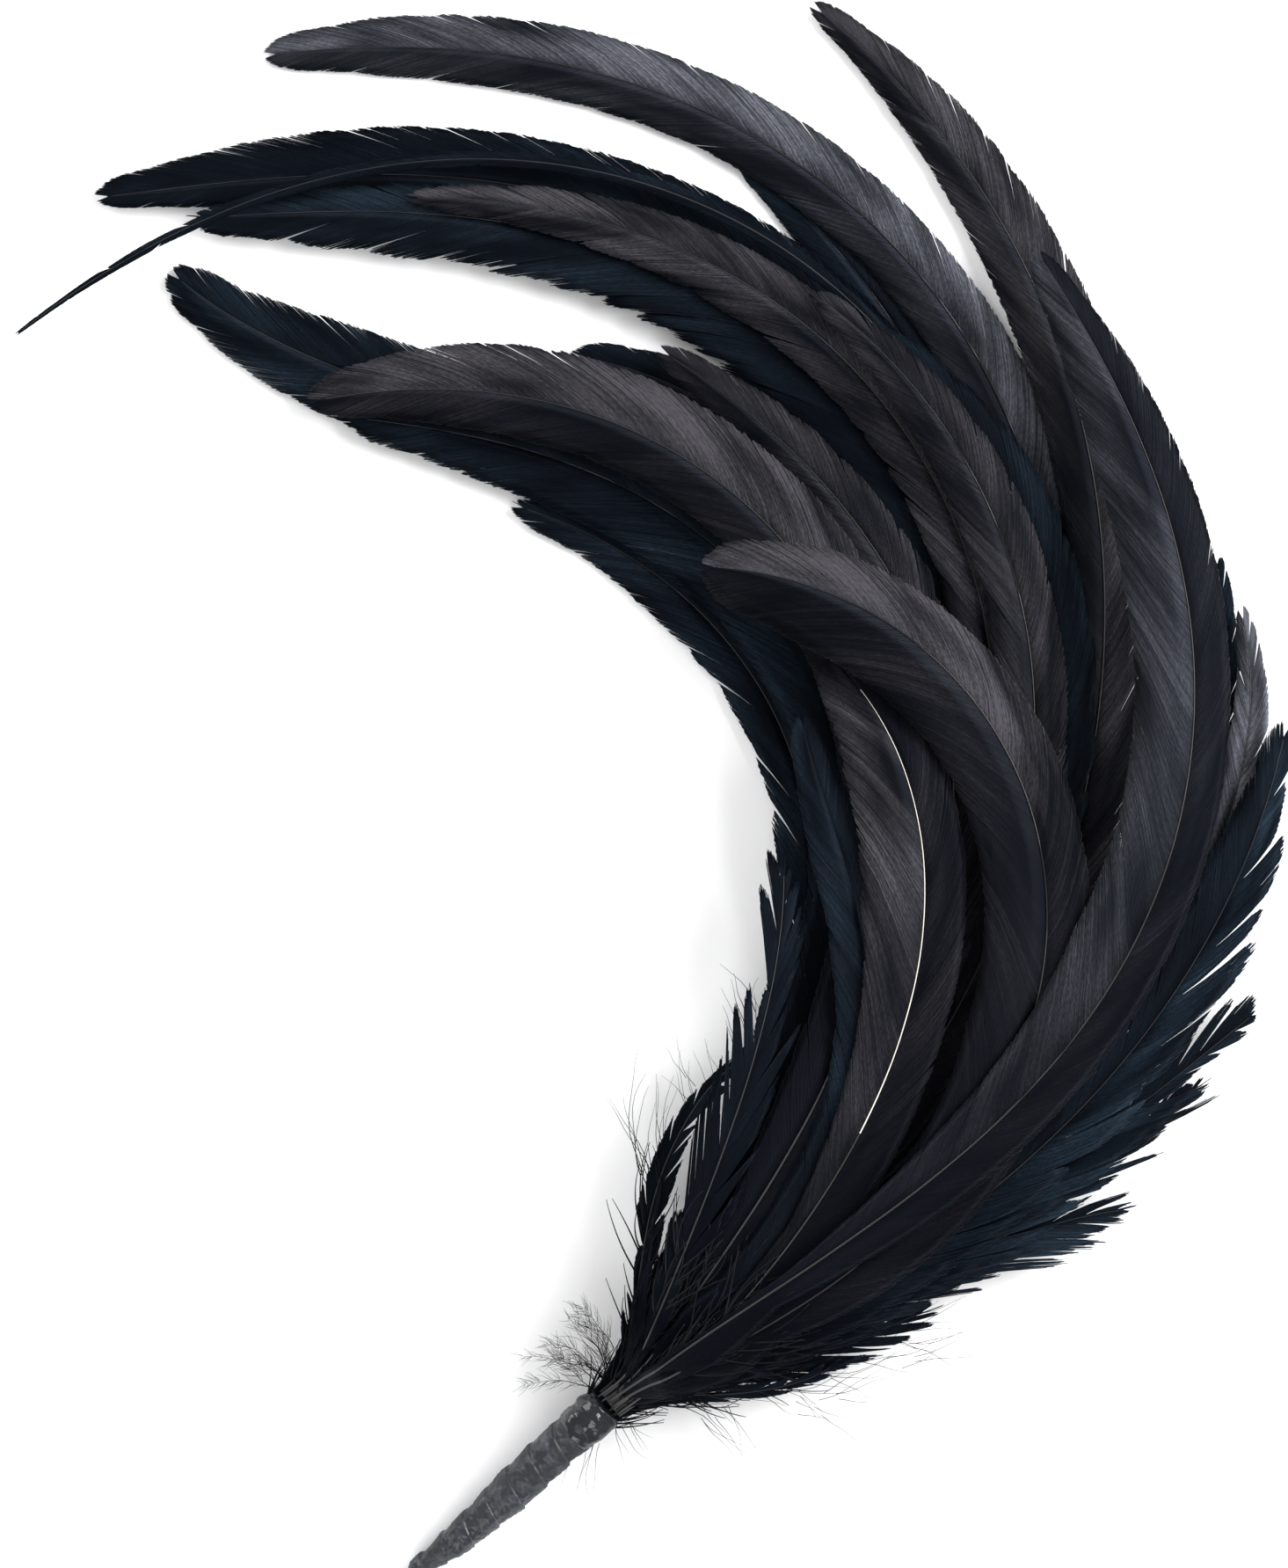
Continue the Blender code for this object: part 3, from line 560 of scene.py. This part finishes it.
def barb_ends(line, side, roots, ragged):
    """How far out each barb reaches, and how far forward, so that it ends on the outline."""
    share = roots / line.length
    slant = np.interp(share, (0.03, 0.2, 0.85, 1), (BASE_SLANT, MID_SLANT, MID_SLANT - 4, TIP_SLANT))
    forward = 1 / np.tan(np.radians(slant * (1 - 0.4 * ragged**2)))
    tries = np.linspace(0, 1.05, REACH_STEPS)[None, :] * np.max(line.widths[side])
    at_end = roots[:, None] + tries * forward[:, None]
    outside = (tries > outline(line, side, at_end)) & (tries > 0)
    outside[:, -1] = True
    return tries[0, outside.argmax(axis=1)], forward


# %% [markdown]
# ## Locks
#
# Hooks hold the barbs together in locks, as a comb's teeth would be if they stuck in bunches. Where the
# hooks have let go the vane splits, and the barbs on either side of the split lean apart. The more ragged
# a feather is, the shorter its locks are and the wider they part.

# %% Part the barbs into locks
MOST_LOCKS = 200
WIDEST_LEAN = 4 * MM


def locks(roots, ragged, rng):
    """Barbs hold together in locks. Returns each barb's lean, and what its lock does to length and to painted
    sheen.
    """
    bounds = np.cumsum(rng.uniform(4, 26 - 16 * ragged, MOST_LOCKS)) * MM
    lock = np.searchsorted(bounds, roots)
    low, high = np.where(lock > 0, bounds[lock - 1], 0), bounds[lock]
    middle, half = (low + high) / 2, (high - low) / 2
    away = (roots - middle) / half
    pull = rng.uniform(0.2, 1.0, MOST_LOCKS + 1)[lock] ** 2 * ragged
    parting = -away * np.minimum(half, WIDEST_LEAN) * 0.95 * pull
    lean = parting + rng.normal(0, 1.3, MOST_LOCKS + 1)[lock] * ragged**2 * MM
    uneven = 1 + 0.32 * ragged**2 * rng.normal(0, 1, MOST_LOCKS + 1)[lock]
    length = (1 - 0.45 * pull * away**2) * uneven
    tone = np.clip(1 + 0.22 * rng.normal(0, 1, MOST_LOCKS + 1)[lock], 0.5, 1.5)
    return lean, np.minimum(length, 1.04 + 0.6 * ragged**3), tone


def slow_noise(rng, where, every):
    """Smooth random values along a shaft, one new value each step."""
    knots = np.arange(0, where.max() + 2 * every, every)
    return np.interp(where, knots, rng.normal(0, 1, len(knots)))


# %% [markdown]
# ## Half a vane
#
# The two halves of a vane are laid one after the other, barb by barb. Each barb's edges follow the shaft at
# their own distance along it, so a row fans open where the feather curves. A barb droops with the vane's
# cross-section, and slow waves along the shaft lift it and let it fall, as a real vane is never flat.

# %% Lay the barbs on one side of a shaft
ROWS = 4
VANE_START = 4 * MM
BARB_WIDTH = 0.66  # half a barb's width over the spacing: neighbours overlap like roof tiles
TILE_TILT = 0.04 * MM  # one edge of a barb stands over the next one's
UPWARDS = np.array((0, 0, 1))


def brightness(line, roots, side, glow):
    """How much painted sheen a barb gets along the shaft: little at the foot, growing outwards, with a painted
    highlight on the outer half where there is a glow.
    """
    share = roots / line.length
    if glow and side == 1:
        return np.interp(share, (0.12, glow[0] - 0.12, glow[0], glow[1], 1), (0.04, 0.15, 1.9, 1.9, 0.9))
    return np.interp(share, (0.12, 0.3, 0.55), (0.04, 0.25, 1))


def half_vane(line, side, tone, ragged, rng, lost, glow):
    """Strips for the barbs on one side of a shaft: places, root distances and painted sheen."""
    count = int((line.length - 2 * MM - VANE_START) / BARB_SPACING)
    roots = VANE_START + (np.arange(count) + 0.5) * BARB_SPACING
    worn = np.interp(roots, lost, (0.2, 1)) if lost and side == 0 else 1
    reach, forward = barb_ends(line, side, roots, ragged)
    reach = reach * worn
    lean, lock_length, lock_painted_sheen = locks(roots, ragged, rng)
    reach = reach * lock_length * (1 - np.abs(rng.normal(0, 0.015 + 0.05 * ragged, count)))
    wave = slow_noise(rng, roots, 6 * MM)
    lift = rng.normal(0, 0.02, count) + 0.10 * wave
    share = np.linspace(0, 1, ROWS + 1)[None, :]
    out = reach[:, None] * share
    ahead = roots[:, None] + (reach * forward)[:, None] * share**1.2 + lean[:, None] * share**2
    half = BARB_SPACING * BARB_WIDTH * (1 - 0.4 * share**3)
    turn = 1 if side == 0 else -1
    # Painted sheen: little at the foot, varied by lock and by barb, and brighter towards each barb's end.
    bright = brightness(line, roots, side, glow)
    bright = bright * lock_painted_sheen * (1 + 0.14 * rng.normal(0, 1, count))
    painted_sheens = tone * bright[:, None] * (0.75 + 0.35 * share)
    places = np.empty((count, ROWS + 1, 2, 3))
    for edge, sign in ((0, -1), (1, 1)):
        where = ahead + sign * turn * half
        spot = line.spot(where)
        left = line.read(line.left, where)
        solid = line.read(line.widths[side], np.minimum(where, line.length))
        width = np.maximum(solid, out + 0.2 * MM)
        drop = line.read(line.drops[side], where) * (out / width) ** 1.6
        rise = lift[:, None] * MM * share - drop + sign * turn * TILE_TILT
        places[:, :, edge] = spot + left * (turn * out)[..., None] + UPWARDS * rise[..., None]
    return places, roots, painted_sheens


# %% [markdown]
# ## Shafts
#
# A shaft is stout where it leaves the stem and finer than a hair at the tip. It stands a little proud of
# the vane. Two feathers of the fan missed the dye on part of their shaft, which shows as a cream line.

# %% Make a feather: its vane and its shaft
SHAFT_BASE, SHAFT_TIP = 0.26 * MM, 0.06 * MM
SHAFT_STEP = 2 * MM
SHAFT_SIDES = 6
PALE_THINNING = 0.75  # a pale stretch is made finer, as its brightness makes it look wide
PALE_SHAFTS = {"pale_quill": (0.44, 0.95), "pale_quill_left": (0.2, 0.6)}  # shares of the shaft
# Painted highlights: stretches where the outer half's painted sheen is raised.
GLOWS = {  # where the outer half turns to the light, in shares of the shaft
    "curled_top": (0.72, 0.97),
    "broad_left": (0.5, 0.8),
    "upper_mid_sickle": (0.6, 0.85),
}
OUTER_SHIFT = 0.5  # metres: sets the outer half's pattern far from the inner half's
LOST_BARBS = {  # inner half: worn away up to the first distance, and whole from the second on
    "pale_quill": (50 * MM, 95 * MM),
    "outer_sickle": (45 * MM, 115 * MM),
    "curled_top": (30 * MM, 90 * MM),
}


def make_shaft(name, line, part, first, last, finish):
    """One stretch of a shaft, standing a little proud of the vane."""
    where = np.append(np.arange(first, last, SHAFT_STEP), last)
    centres = line.spot(where)
    lefts = line.read(line.left, where)
    ups = np.tile((0.0, 0.0, 1.0), (len(where), 1))
    thinning = PALE_THINNING if finish is pale_horn else 1
    radius = np.interp(where, (0, line.length), (SHAFT_BASE, SHAFT_TIP)) * thinning
    centres = centres + ups * (line.read(line.thick, where) - radius)[:, None] * 0.6
    radii = np.repeat(radius[:, None], SHAFT_SIDES, axis=1)
    return roll_tube(name + part, centres, lefts, ups, radii, body_of[name], finish)


def make_shafts(name, line):
    """A feather's shaft: in one stretch, or with its dyed foot and its pale rest apart."""
    first = line.first if line.first < -1 * MM else -0.2 * MM
    last = line.length - 3 * MM
    if name not in PALE_SHAFTS:
        make_shaft(name, line, "_shaft", first, last, black_horn)
        return
    low, high = (share * line.length for share in PALE_SHAFTS[name])
    make_shaft(name, line, "_shaft_foot", first, low, black_horn)
    make_shaft(name, line, "_shaft_pale", low, high, pale_horn)


def make_feather(name):
    """Both halves of a feather's vane in one piece, and its shaft. Returns the number of barbs."""
    line = lines[name]
    rng = np.random.default_rng(sum(ord(letter) * (index + 3) for index, letter in enumerate(name)))
    inner_painted_sheen, outer_painted_sheen, ragged = LOOKS[name]
    lost, glow = LOST_BARBS.get(name), GLOWS.get(name)
    inner = half_vane(line, 0, inner_painted_sheen, ragged, rng, lost, glow)
    outer = half_vane(line, 1, outer_painted_sheen, ragged, rng, lost, glow)
    places = np.concatenate([inner[0], outer[0]])
    roots = np.concatenate([inner[1], outer[1] + OUTER_SHIFT]) / MM
    painted_sheens = np.clip(np.concatenate([inner[2], outer[2]]), 0, 1)
    slot = slot_of[name]
    vane = cut_strips(name + "_vane", places, roots, painted_sheens, body_of[name], finishes[slot])
    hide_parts(name)
    make_shafts(name, line)
    return len(places)


barbs = sum(make_feather(name) for name in FEATHERS)
print(barbs, "barbs")

# %% [markdown]
# ## The stem's line
#
# The stub wire runs down the middle of the stem, so its rings give the stem's line, and the far end of the
# line is the mount at the cut. How thick the tape is at each depth is read from its solid.

# %% Read the stem's line from the wire, and the tape's size from its solid
WIRE_SIDES = 8
TAPE_REACH = 3.5 * MM  # how much of the tape is measured at once


def stem_axis():
    """The middles of the wire's rings, from the binding to the cut end."""
    points = points_of("stub_wire")
    points = points[np.argsort((points - binding) @ -fan_forward)]
    rings = points[: len(points) // WIRE_SIDES * WIRE_SIDES].reshape(-1, WIRE_SIDES, 3).mean(axis=1)
    start = rings[0] - (rings[1] - rings[0]) * 0.5
    end = np.array(frame["record"]["mounts"][0]["pos_m"])
    return np.vstack([start, rings, end])


axis = stem_axis()
axis_at = np.concatenate([[0], np.cumsum(np.linalg.norm(np.diff(axis, axis=0), axis=1))])
axis_at += (binding - axis[0]) @ fan_forward
tape_points = points_of("stem_tape")
nearest_ring = [np.argmin(np.linalg.norm(axis - point, axis=1)) for point in tape_points]
depth_of_point = axis_at[nearest_ring]


def axis_spot(depth):
    """Places on the stem's line, by depth behind the binding."""
    return np.stack([np.interp(depth, axis_at, axis[:, column]) for column in range(3)], axis=-1)


def tape_radius(depth):
    """The outside of the tape's solid near this depth."""
    near = np.abs(depth_of_point - depth) < TAPE_REACH
    spots = axis_spot(depth)
    back = axis_spot(depth + 1 * MM) - spots
    back /= np.linalg.norm(back)
    offset = tape_points[near] - spots
    return np.linalg.norm(offset - np.outer(offset @ back, back), axis=1).max()


TAPE_TOP, TAPE_END = 3.8 * MM, 1.5 * MM
tape_depths = np.linspace(TAPE_TOP, axis_at[-1] - TAPE_END, 12)
tape_radii = np.array([tape_radius(depth) for depth in tape_depths])
print("stem", round(axis_at[-1] / MM, 1), "mm long, tape radius", (tape_radii / MM).round(2), "mm")


# %% [markdown]
# ## The tape
#
# Florist tape is stretched as it is wound, so each turn lies over the last with a slanting edge, and the
# paper puckers. The tube's radius carries both: a small step at each turn of the spiral, and creases that
# run round it. The free end is pinched shut over the wire.

# %% Wind the tape
TAPE_PITCH = 6.2 * MM  # half-inch tape lapped by half
WRAP_STEP = 0.45  # mm from one turn down to the next, drawn deep so that the lap shows
WRAP_LIP = 0.05  # the share of a turn over which the step rises
TAPE_SIDES = 96


def frames_along(depths):
    """Places on the stem's line, with the directions left and up across it."""
    centres = axis_spot(depths)
    back = np.gradient(centres, depths, axis=0)
    lefts = np.stack([-back[:, 1], back[:, 0], np.zeros(len(back))], axis=1)
    lefts /= np.linalg.norm(lefts, axis=1)[:, None]
    ups = np.cross(back, lefts)
    ups /= np.linalg.norm(ups, axis=1)[:, None]
    return centres, lefts, ups


def tape_relief(depth, angle):
    """How far the tape stands out at one place, in mm."""
    turn = (depth / TAPE_PITCH + angle / (2 * math.pi)) % 1
    step = WRAP_STEP * (1 - turn) if turn > WRAP_LIP else WRAP_STEP * turn / WRAP_LIP
    around = Vector((math.cos(angle), math.sin(angle), 0)) * 3
    crease = noise.noise(Vector((depth / MM * 1.1, *(around.xy * 1.3))))
    pucker = noise.noise(Vector((depth / MM * 3.4 + 40, *(around.xy * 0.8)))) * 0.5
    lump = noise.noise(Vector((depth / MM * 0.22 + 7, *(around.xy * 0.35))))
    ridge = abs(noise.noise(Vector((depth / MM * 0.8 + angle * 1.5, 9, angle * 2.2))))
    return step + 0.13 * crease + 0.10 * pucker + 0.28 * lump - 0.22 * ridge


def make_tape():
    depths = np.arange(3.2 * MM, axis_at[-1] + 0.1 * MM, 0.16 * MM)
    depths = np.append(depths, axis_at[-1])
    centres, lefts, ups = frames_along(depths)
    base = np.interp(depths, tape_depths, tape_radii) - 0.22 * MM
    angles = 2 * math.pi * np.arange(TAPE_SIDES) / TAPE_SIDES
    relief = np.array([[tape_relief(depth, angle) for angle in angles] for depth in depths])
    radii = base[:, None] + relief * MM
    end = np.clip((axis_at[-1] - depths) / (1.2 * MM), 0, 1)
    radii *= (0.35 + 0.65 * np.sqrt(end))[:, None]
    tape = roll_tube("tape_wraps", centres, lefts, ups, radii, "stem", tape_finish)
    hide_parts("stem_tape")
    print("tape wound in", round((depths[-1] - depths[0]) / TAPE_PITCH, 1), "turns")


make_tape()

# %% [markdown]
# ## The glue
#
# A blob of hot glue locks the thread and the first turn of tape. It sets glossy and lumpy. It is a sleeve
# with an uneven outside: wide lumps where it ran, and finer ones where it was dabbed.

# %% Squeeze on the glue
GLUE_SIDES = 48


def glue_relief(depth, angle):
    """How far the glue stands out at one place, in mm."""
    around = (math.cos(angle) * 1.6, math.sin(angle) * 1.6)
    lump = noise.noise(Vector((depth / MM * 0.45, *around)))
    fine = noise.noise(Vector((depth / MM * 1.3 + 20, around[0] * 2.4, around[1] * 2.4)))
    return 0.55 * lump + 0.18 * fine


def make_glue():
    depths = np.arange(-0.6 * MM, 8.6 * MM, 0.22 * MM)
    centres, lefts, ups = frames_along(depths)
    ends = np.clip(np.minimum(depths - depths[0], depths[-1] - depths) / (1.4 * MM), 0, 1)
    outer = np.interp(depths, (-1 * MM, 2 * MM, 9 * MM), (3.95 * MM, 4.5 * MM, 4.35 * MM))
    angles = 2 * math.pi * np.arange(GLUE_SIDES) / GLUE_SIDES
    relief = np.array([[glue_relief(depth, angle) for angle in angles] for depth in depths])
    radii = outer[:, None] + relief * MM
    radii *= (0.80 + 0.20 * np.sqrt(ends))[:, None]
    glue = roll_tube("glue_blob", centres, lefts, ups, radii, "stem", glue_finish)
    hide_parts("glue_collar")
    print("glue over", round((depths[-1] - depths[0]) / MM, 1), "mm of the stem")


make_glue()

# %% [markdown]
# ## The CAD pieces that stay
#
# The stub wire, the binding thread and the bare quills are plain round forms that the CAD already has
# right, so they are kept and only given their finish.

# %% Give the CAD pieces that stay their finish
kept = 0
for node, obj in frame["nodes"].items():
    finish = {"thread": thread_finish, "wire": wire_finish, "quill": black_horn}.get(slot_of[node])
    if finish:
        obj.data.materials.clear()
        obj.data.materials.append(finish)
        kept += 1
print(kept, "CAD pieces kept")

# %% [markdown]
# ## Down and loose hairs
#
# At the foot of a feather the barbs have no hooks, so they stand apart as down. Some stray from under the
# binding, and longer ones have come loose along the edges. Each is a strip 0.1 to 0.2 mm wide,
# laid along a line whose direction changes steadily. They are set out in small groups, each with where it
# springs from, the spread of its directions, its lengths and how much it curls.

# %% Lay a group of hairs
HAIR_ROWS = 9
HAIR_THICKNESS, FLUFF_THICKNESS = 0.06 * MM, 0.07 * MM
LEAST_HEIGHT = 0.15 * MM  # hairs stay this far above the table


def strands(rng, start, heading, bend, length, width, wave=0.12):
    """Strips that start at given places with a heading, and bend by an angle over their length."""
    share = np.linspace(0, 1, HAIR_ROWS + 1)[None, :]
    count = len(start)
    angle = heading[:, None] + bend[:, None] * share**1.3
    angle = angle + wave * np.sin(share * 9 + rng.uniform(0, 6, count)[:, None])
    step = np.broadcast_to(length, count)[:, None] / HAIR_ROWS
    x = start[:, 0:1] + np.cumsum(np.cos(angle) * step, axis=1)
    y = start[:, 1:2] + np.cumsum(np.sin(angle) * step, axis=1)
    z = start[:, 2:3] + rng.normal(0, 2 * MM, count)[:, None] * share**1.5
    middle = np.stack([x, y, np.maximum(z, LEAST_HEIGHT)], axis=-1)
    across = np.stack([np.sin(angle), -np.cos(angle), np.zeros_like(angle)], axis=-1)
    half = (width / 2 * (1 - 0.75 * share))[..., None]
    return np.stack([middle + across * half, middle - across * half], axis=2)


def from_binding(forward, left, height):
    """A place given by its distances from the binding, forwards and left, and its height, in mm."""
    foot = binding + fan_forward * forward * MM + fan_left * left * MM
    return np.array((foot[0], foot[1], height * MM))


def tuft(rng, count, at, spread, bearing, fan, lengths, curl, width=0.13):
    """Loose hairs from about one place. Lengths in mm and angles in degrees."""
    shifts = rng.uniform(-1, 1, (count, 3)) * np.array((spread, spread, 1.5)) * MM
    heading = np.radians(bearing + rng.uniform(-fan, fan, count))
    bend = np.radians(rng.normal(curl, 22, count))
    long = rng.uniform(*lengths, count) * MM
    return strands(rng, from_binding(*at) + shifts, heading, bend, long, width * MM)


def plume(rng, at, bearing, curl, length, barbs=34):
    """A wisp of down: one curling rib with fine barbs on both sides."""
    foot = from_binding(*at)[None]
    rib = strands(rng, foot, np.radians([bearing]), np.radians([curl]), length * MM, 0.2 * MM)
    line = rib.mean(axis=2)[0]
    spots = rng.uniform(0.12, 1, barbs)
    rows = np.linspace(0, 1, HAIR_ROWS + 1)
    start = np.stack([np.interp(spots, rows, line[:, axis]) for axis in range(3)], axis=1)
    side = rng.choice((-1.0, 1.0), barbs)
    heading = np.radians(bearing + curl * spots**1.3) + side * np.radians(rng.uniform(22, 50, barbs))
    long = rng.uniform(2.2, 4.6, barbs) * (1.15 - 0.5 * spots) * MM
    return np.concatenate([rib, strands(rng, start, heading, -side * 0.3, long, 0.09 * MM)])


rng = np.random.default_rng(11)
wisps = [
    plume(rng, (3, 3, 9), 118, 60, 14),
    plume(rng, (2, 3.5, 7), 140, 48, 15),
    plume(rng, (1.5, 3, 5), 165, 25, 14),
    plume(rng, (4, 4, 8), 105, 45, 13),
    plume(rng, (6, 5, 7), 112, 30, 12),
    plume(rng, (3, 3, 5), 128, 70, 12),
    plume(rng, (8, 6.5, 6), 118, 22, 11),
    plume(rng, (1, 3, 6), 150, -40, 11),
    tuft(rng, 30, (4, 4, 8), 2.5, 115, 30, (5, 15), 35),
    tuft(rng, 7, (33, 26, 6), 2, 108, 12, (16, 27), -10, 0.2),
    tuft(rng, 5, (34, 25, 5), 2, 92, 8, (14, 24), -6, 0.2),
    tuft(rng, 16, (68, 37, 5), 5, 108, 16, (7, 14), -14, 0.18),
    tuft(rng, 10, (52, 33, 5), 5, 125, 16, (6, 13), -20),
    tuft(rng, 26, (20, -10, 6), 6, 12, 22, (10, 24), 22),
    tuft(rng, 20, (34, -17, 5), 7, 10, 20, (9, 20), 16),
    tuft(rng, 18, (50, -24, 5), 6, 2, 22, (8, 18), 14),
    tuft(rng, 14, (32, -20, 3), 7, -30, 20, (6, 14), 20),
    tuft(rng, 8, (16, -13, 4), 3, -48, 14, (8, 15), 6),
    tuft(rng, 6, (2, -3, 6), 2, -75, 14, (5, 9), 35),
    tuft(rng, 5, (-4, -3, 4), 1.5, -112, 10, (11, 16), 8, 0.1),
    tuft(rng, 9, (1, -2, 8), 1.5, -60, 60, (3, 5), 160),
]
places = np.concatenate(wisps)
tone = np.full(places.shape[:2], 0.2)
spread_out = np.arange(len(places)) * 0.9
cut_strips("loose_down", places, spread_out, tone, "stem", down_finish, HAIR_THICKNESS)
print(len(places), "loose hairs")

# %% [markdown]
# ## Base fluff
#
# Between the binding and the first real barbs every shaft carries downy barbs. Pressed together they hide
# the bare quills and fill the foot of the fan. Each feather gets its own, so that they lift with it.

# %% Downy barbs at the foot of each feather
FLUFF_REACH = 34 * MM
FLUFF_HALF_WIDTH = 0.19 * MM
SHORT_FEATHER = 60 * MM


def make_fluff(body, names, seed):
    """The down on the feathers of one body, in one piece."""
    rng = np.random.default_rng(seed)
    groups = []
    for name in names:
        line = lines[name]
        count = 54 if line.length > SHORT_FEATHER else 24
        roots = rng.uniform(2 * MM, min(FLUFF_REACH, line.length * 0.5), count)
        side = rng.choice((-1.0, 1.0), count)
        spot, left = line.spot(roots), line.read(line.left, roots)
        forward = np.cross(left, (0, 0, 1))
        share = np.linspace(0, 1, HAIR_ROWS + 1)
        slant = np.radians(rng.uniform(14, 44, count))
        length = rng.uniform(6, 15, count) * MM * np.interp(roots, (0, 30 * MM), (0.8, 1.1))
        bend = rng.normal(-0.5, 0.3, count)
        angle = slant[:, None] + bend[:, None] * share[None, :]
        step = (length / HAIR_ROWS)[:, None]
        out = np.cumsum(np.sin(angle) * step, axis=1) * side[:, None]
        ahead = np.cumsum(np.cos(angle) * step, axis=1)
        z = rng.normal(0, 0.35, count)[:, None] * MM * share[None, :] ** 0.5
        middle = spot[:, None] + left[:, None] * out[..., None] + forward[:, None] * ahead[..., None]
        middle[..., 2] = np.maximum(middle[..., 2] + z, LEAST_HEIGHT)
        half = FLUFF_HALF_WIDTH * (1 - 0.7 * share)[None, :, None]
        sideways = (np.sin(angle) * side[:, None])[..., None]
        across = left[:, None] * np.cos(angle)[..., None] - forward[:, None] * sideways
        groups.append(np.stack([middle + across * half, middle - across * half], axis=2))
    places = np.concatenate(groups)
    tone = np.full(places.shape[:2], 0.25)
    spread_out = np.arange(len(places)) * 0.7
    name = "fluff_" + body
    cut_strips(name, places, spread_out, tone, body, down_finish, FLUFF_THICKNESS)
    print(name, len(places), "barbs")


for seed, body in enumerate(sorted(set(body_of[name] for name in FEATHERS))):
    make_fluff(body, [name for name in FEATHERS if body_of[name] == body], 50 + seed)

# %% [markdown]
# ## The sheet of paper
#
# The mount lies on a large sheet of matt white paper, half a millimetre below the plane that the CAD
# stands on.

# %% Lay the floor
FLOOR_HALF_WIDTH = 1.5
FLOOR_HEIGHT = -0.5 * MM
bm = bmesh.new()
bmesh.ops.create_grid(bm, x_segments=1, y_segments=1, size=FLOOR_HALF_WIDTH)
floor_mesh = bpy.data.meshes.new("paper_sheet")
bm.to_mesh(floor_mesh)
bm.free()
floor = bpy.data.objects.new("paper_sheet", floor_mesh)
floor.location.z = FLOOR_HEIGHT
bpy.context.scene.collection.objects.link(floor)
paper, _, shader = start_material("white_paper_sheet")
shader.inputs["Base Color"].default_value = rgb("#fbfbfc")
shader.inputs["Roughness"].default_value = 0.9
shader.inputs["Specular IOR Level"].default_value = 0.1
floor_mesh.materials.append(paper)
print("floor", 2 * FLOOR_HALF_WIDTH, "m across")

# %% [markdown]
# ## The lights
#
# A big soft light from the right, weaker ones from the top left and the bottom left, and little light from
# straight above. A black feather seen from above mirrors what is overhead, so the dimness there keeps the
# vanes black. The satin grey of the halves that tilt towards the soft boxes is mostly a sheen painted into
# the vane finish; these lamps add only a little real gloss on top.


# %% Hang the soft boxes
def add_light(name, place, size, power):
    """A rectangular soft box that looks at the middle of the mount."""
    data = bpy.data.lights.new(name, "AREA")
    data.shape = "RECTANGLE"
    data.size, data.size_y = size
    data.energy = power
    lamp = bpy.data.objects.new(name, data)
    lamp.location = place
    lamp.rotation_euler = (-Vector(place)).to_track_quat("-Z", "Y").to_euler()
    bpy.context.scene.collection.objects.link(lamp)


add_light("key_softbox", (0.9, 0.35, 0.55), (0.8, 0.8), 24)
add_light("fill_softbox", (-0.7, 0.8, 0.6), (0.8, 0.8), 9)
add_light("low_fill", (-0.5, -0.9, 0.55), (0.8, 0.8), 7)
world = bpy.data.worlds.new("studio")
bpy.context.scene.world = world
world.use_nodes = True
world.node_tree.nodes["Background"].inputs["Color"].default_value = (1, 1, 1, 1)
world.node_tree.nodes["Background"].inputs["Strength"].default_value = 0.5
print(len(bpy.data.lights), "soft boxes")

# %% [markdown]
# ## The camera
#
# It looks straight down from more than a metre, where near and far feathers show at nearly one scale. The
# plain display transform keeps the paper white and the dye black.

# %% Set up the camera
bpy.context.scene.view_settings.view_transform = "Standard"
low, high = np.array(cad_box[0]), np.array(cad_box[1])
SHIFT_X, SHIFT_Y, AIM_HEIGHT = -1.4 * MM, 1.5 * MM, 8 * MM
aim = Vector(((low[0] + high[0]) / 2 + SHIFT_X, (low[1] + high[1]) / 2 + SHIFT_Y, AIM_HEIGHT))
VIEW_HEIGHT = 303.1 * MM
CAMERA_DISTANCE = 1.2
SENSOR_HEIGHT = 24  # the camera takes its sensor and its lens in mm
camera_data = bpy.data.cameras.new("top_camera")
camera_data.sensor_fit = "VERTICAL"
camera_data.sensor_height = SENSOR_HEIGHT
camera_data.lens = SENSOR_HEIGHT / VIEW_HEIGHT * CAMERA_DISTANCE
camera = bpy.data.objects.new("top_camera", camera_data)
camera.location = aim + Vector((0, 0, CAMERA_DISTANCE))
bpy.context.scene.collection.objects.link(camera)
bpy.context.scene.camera = camera
print("camera lens", round(camera_data.lens, 1), "mm")
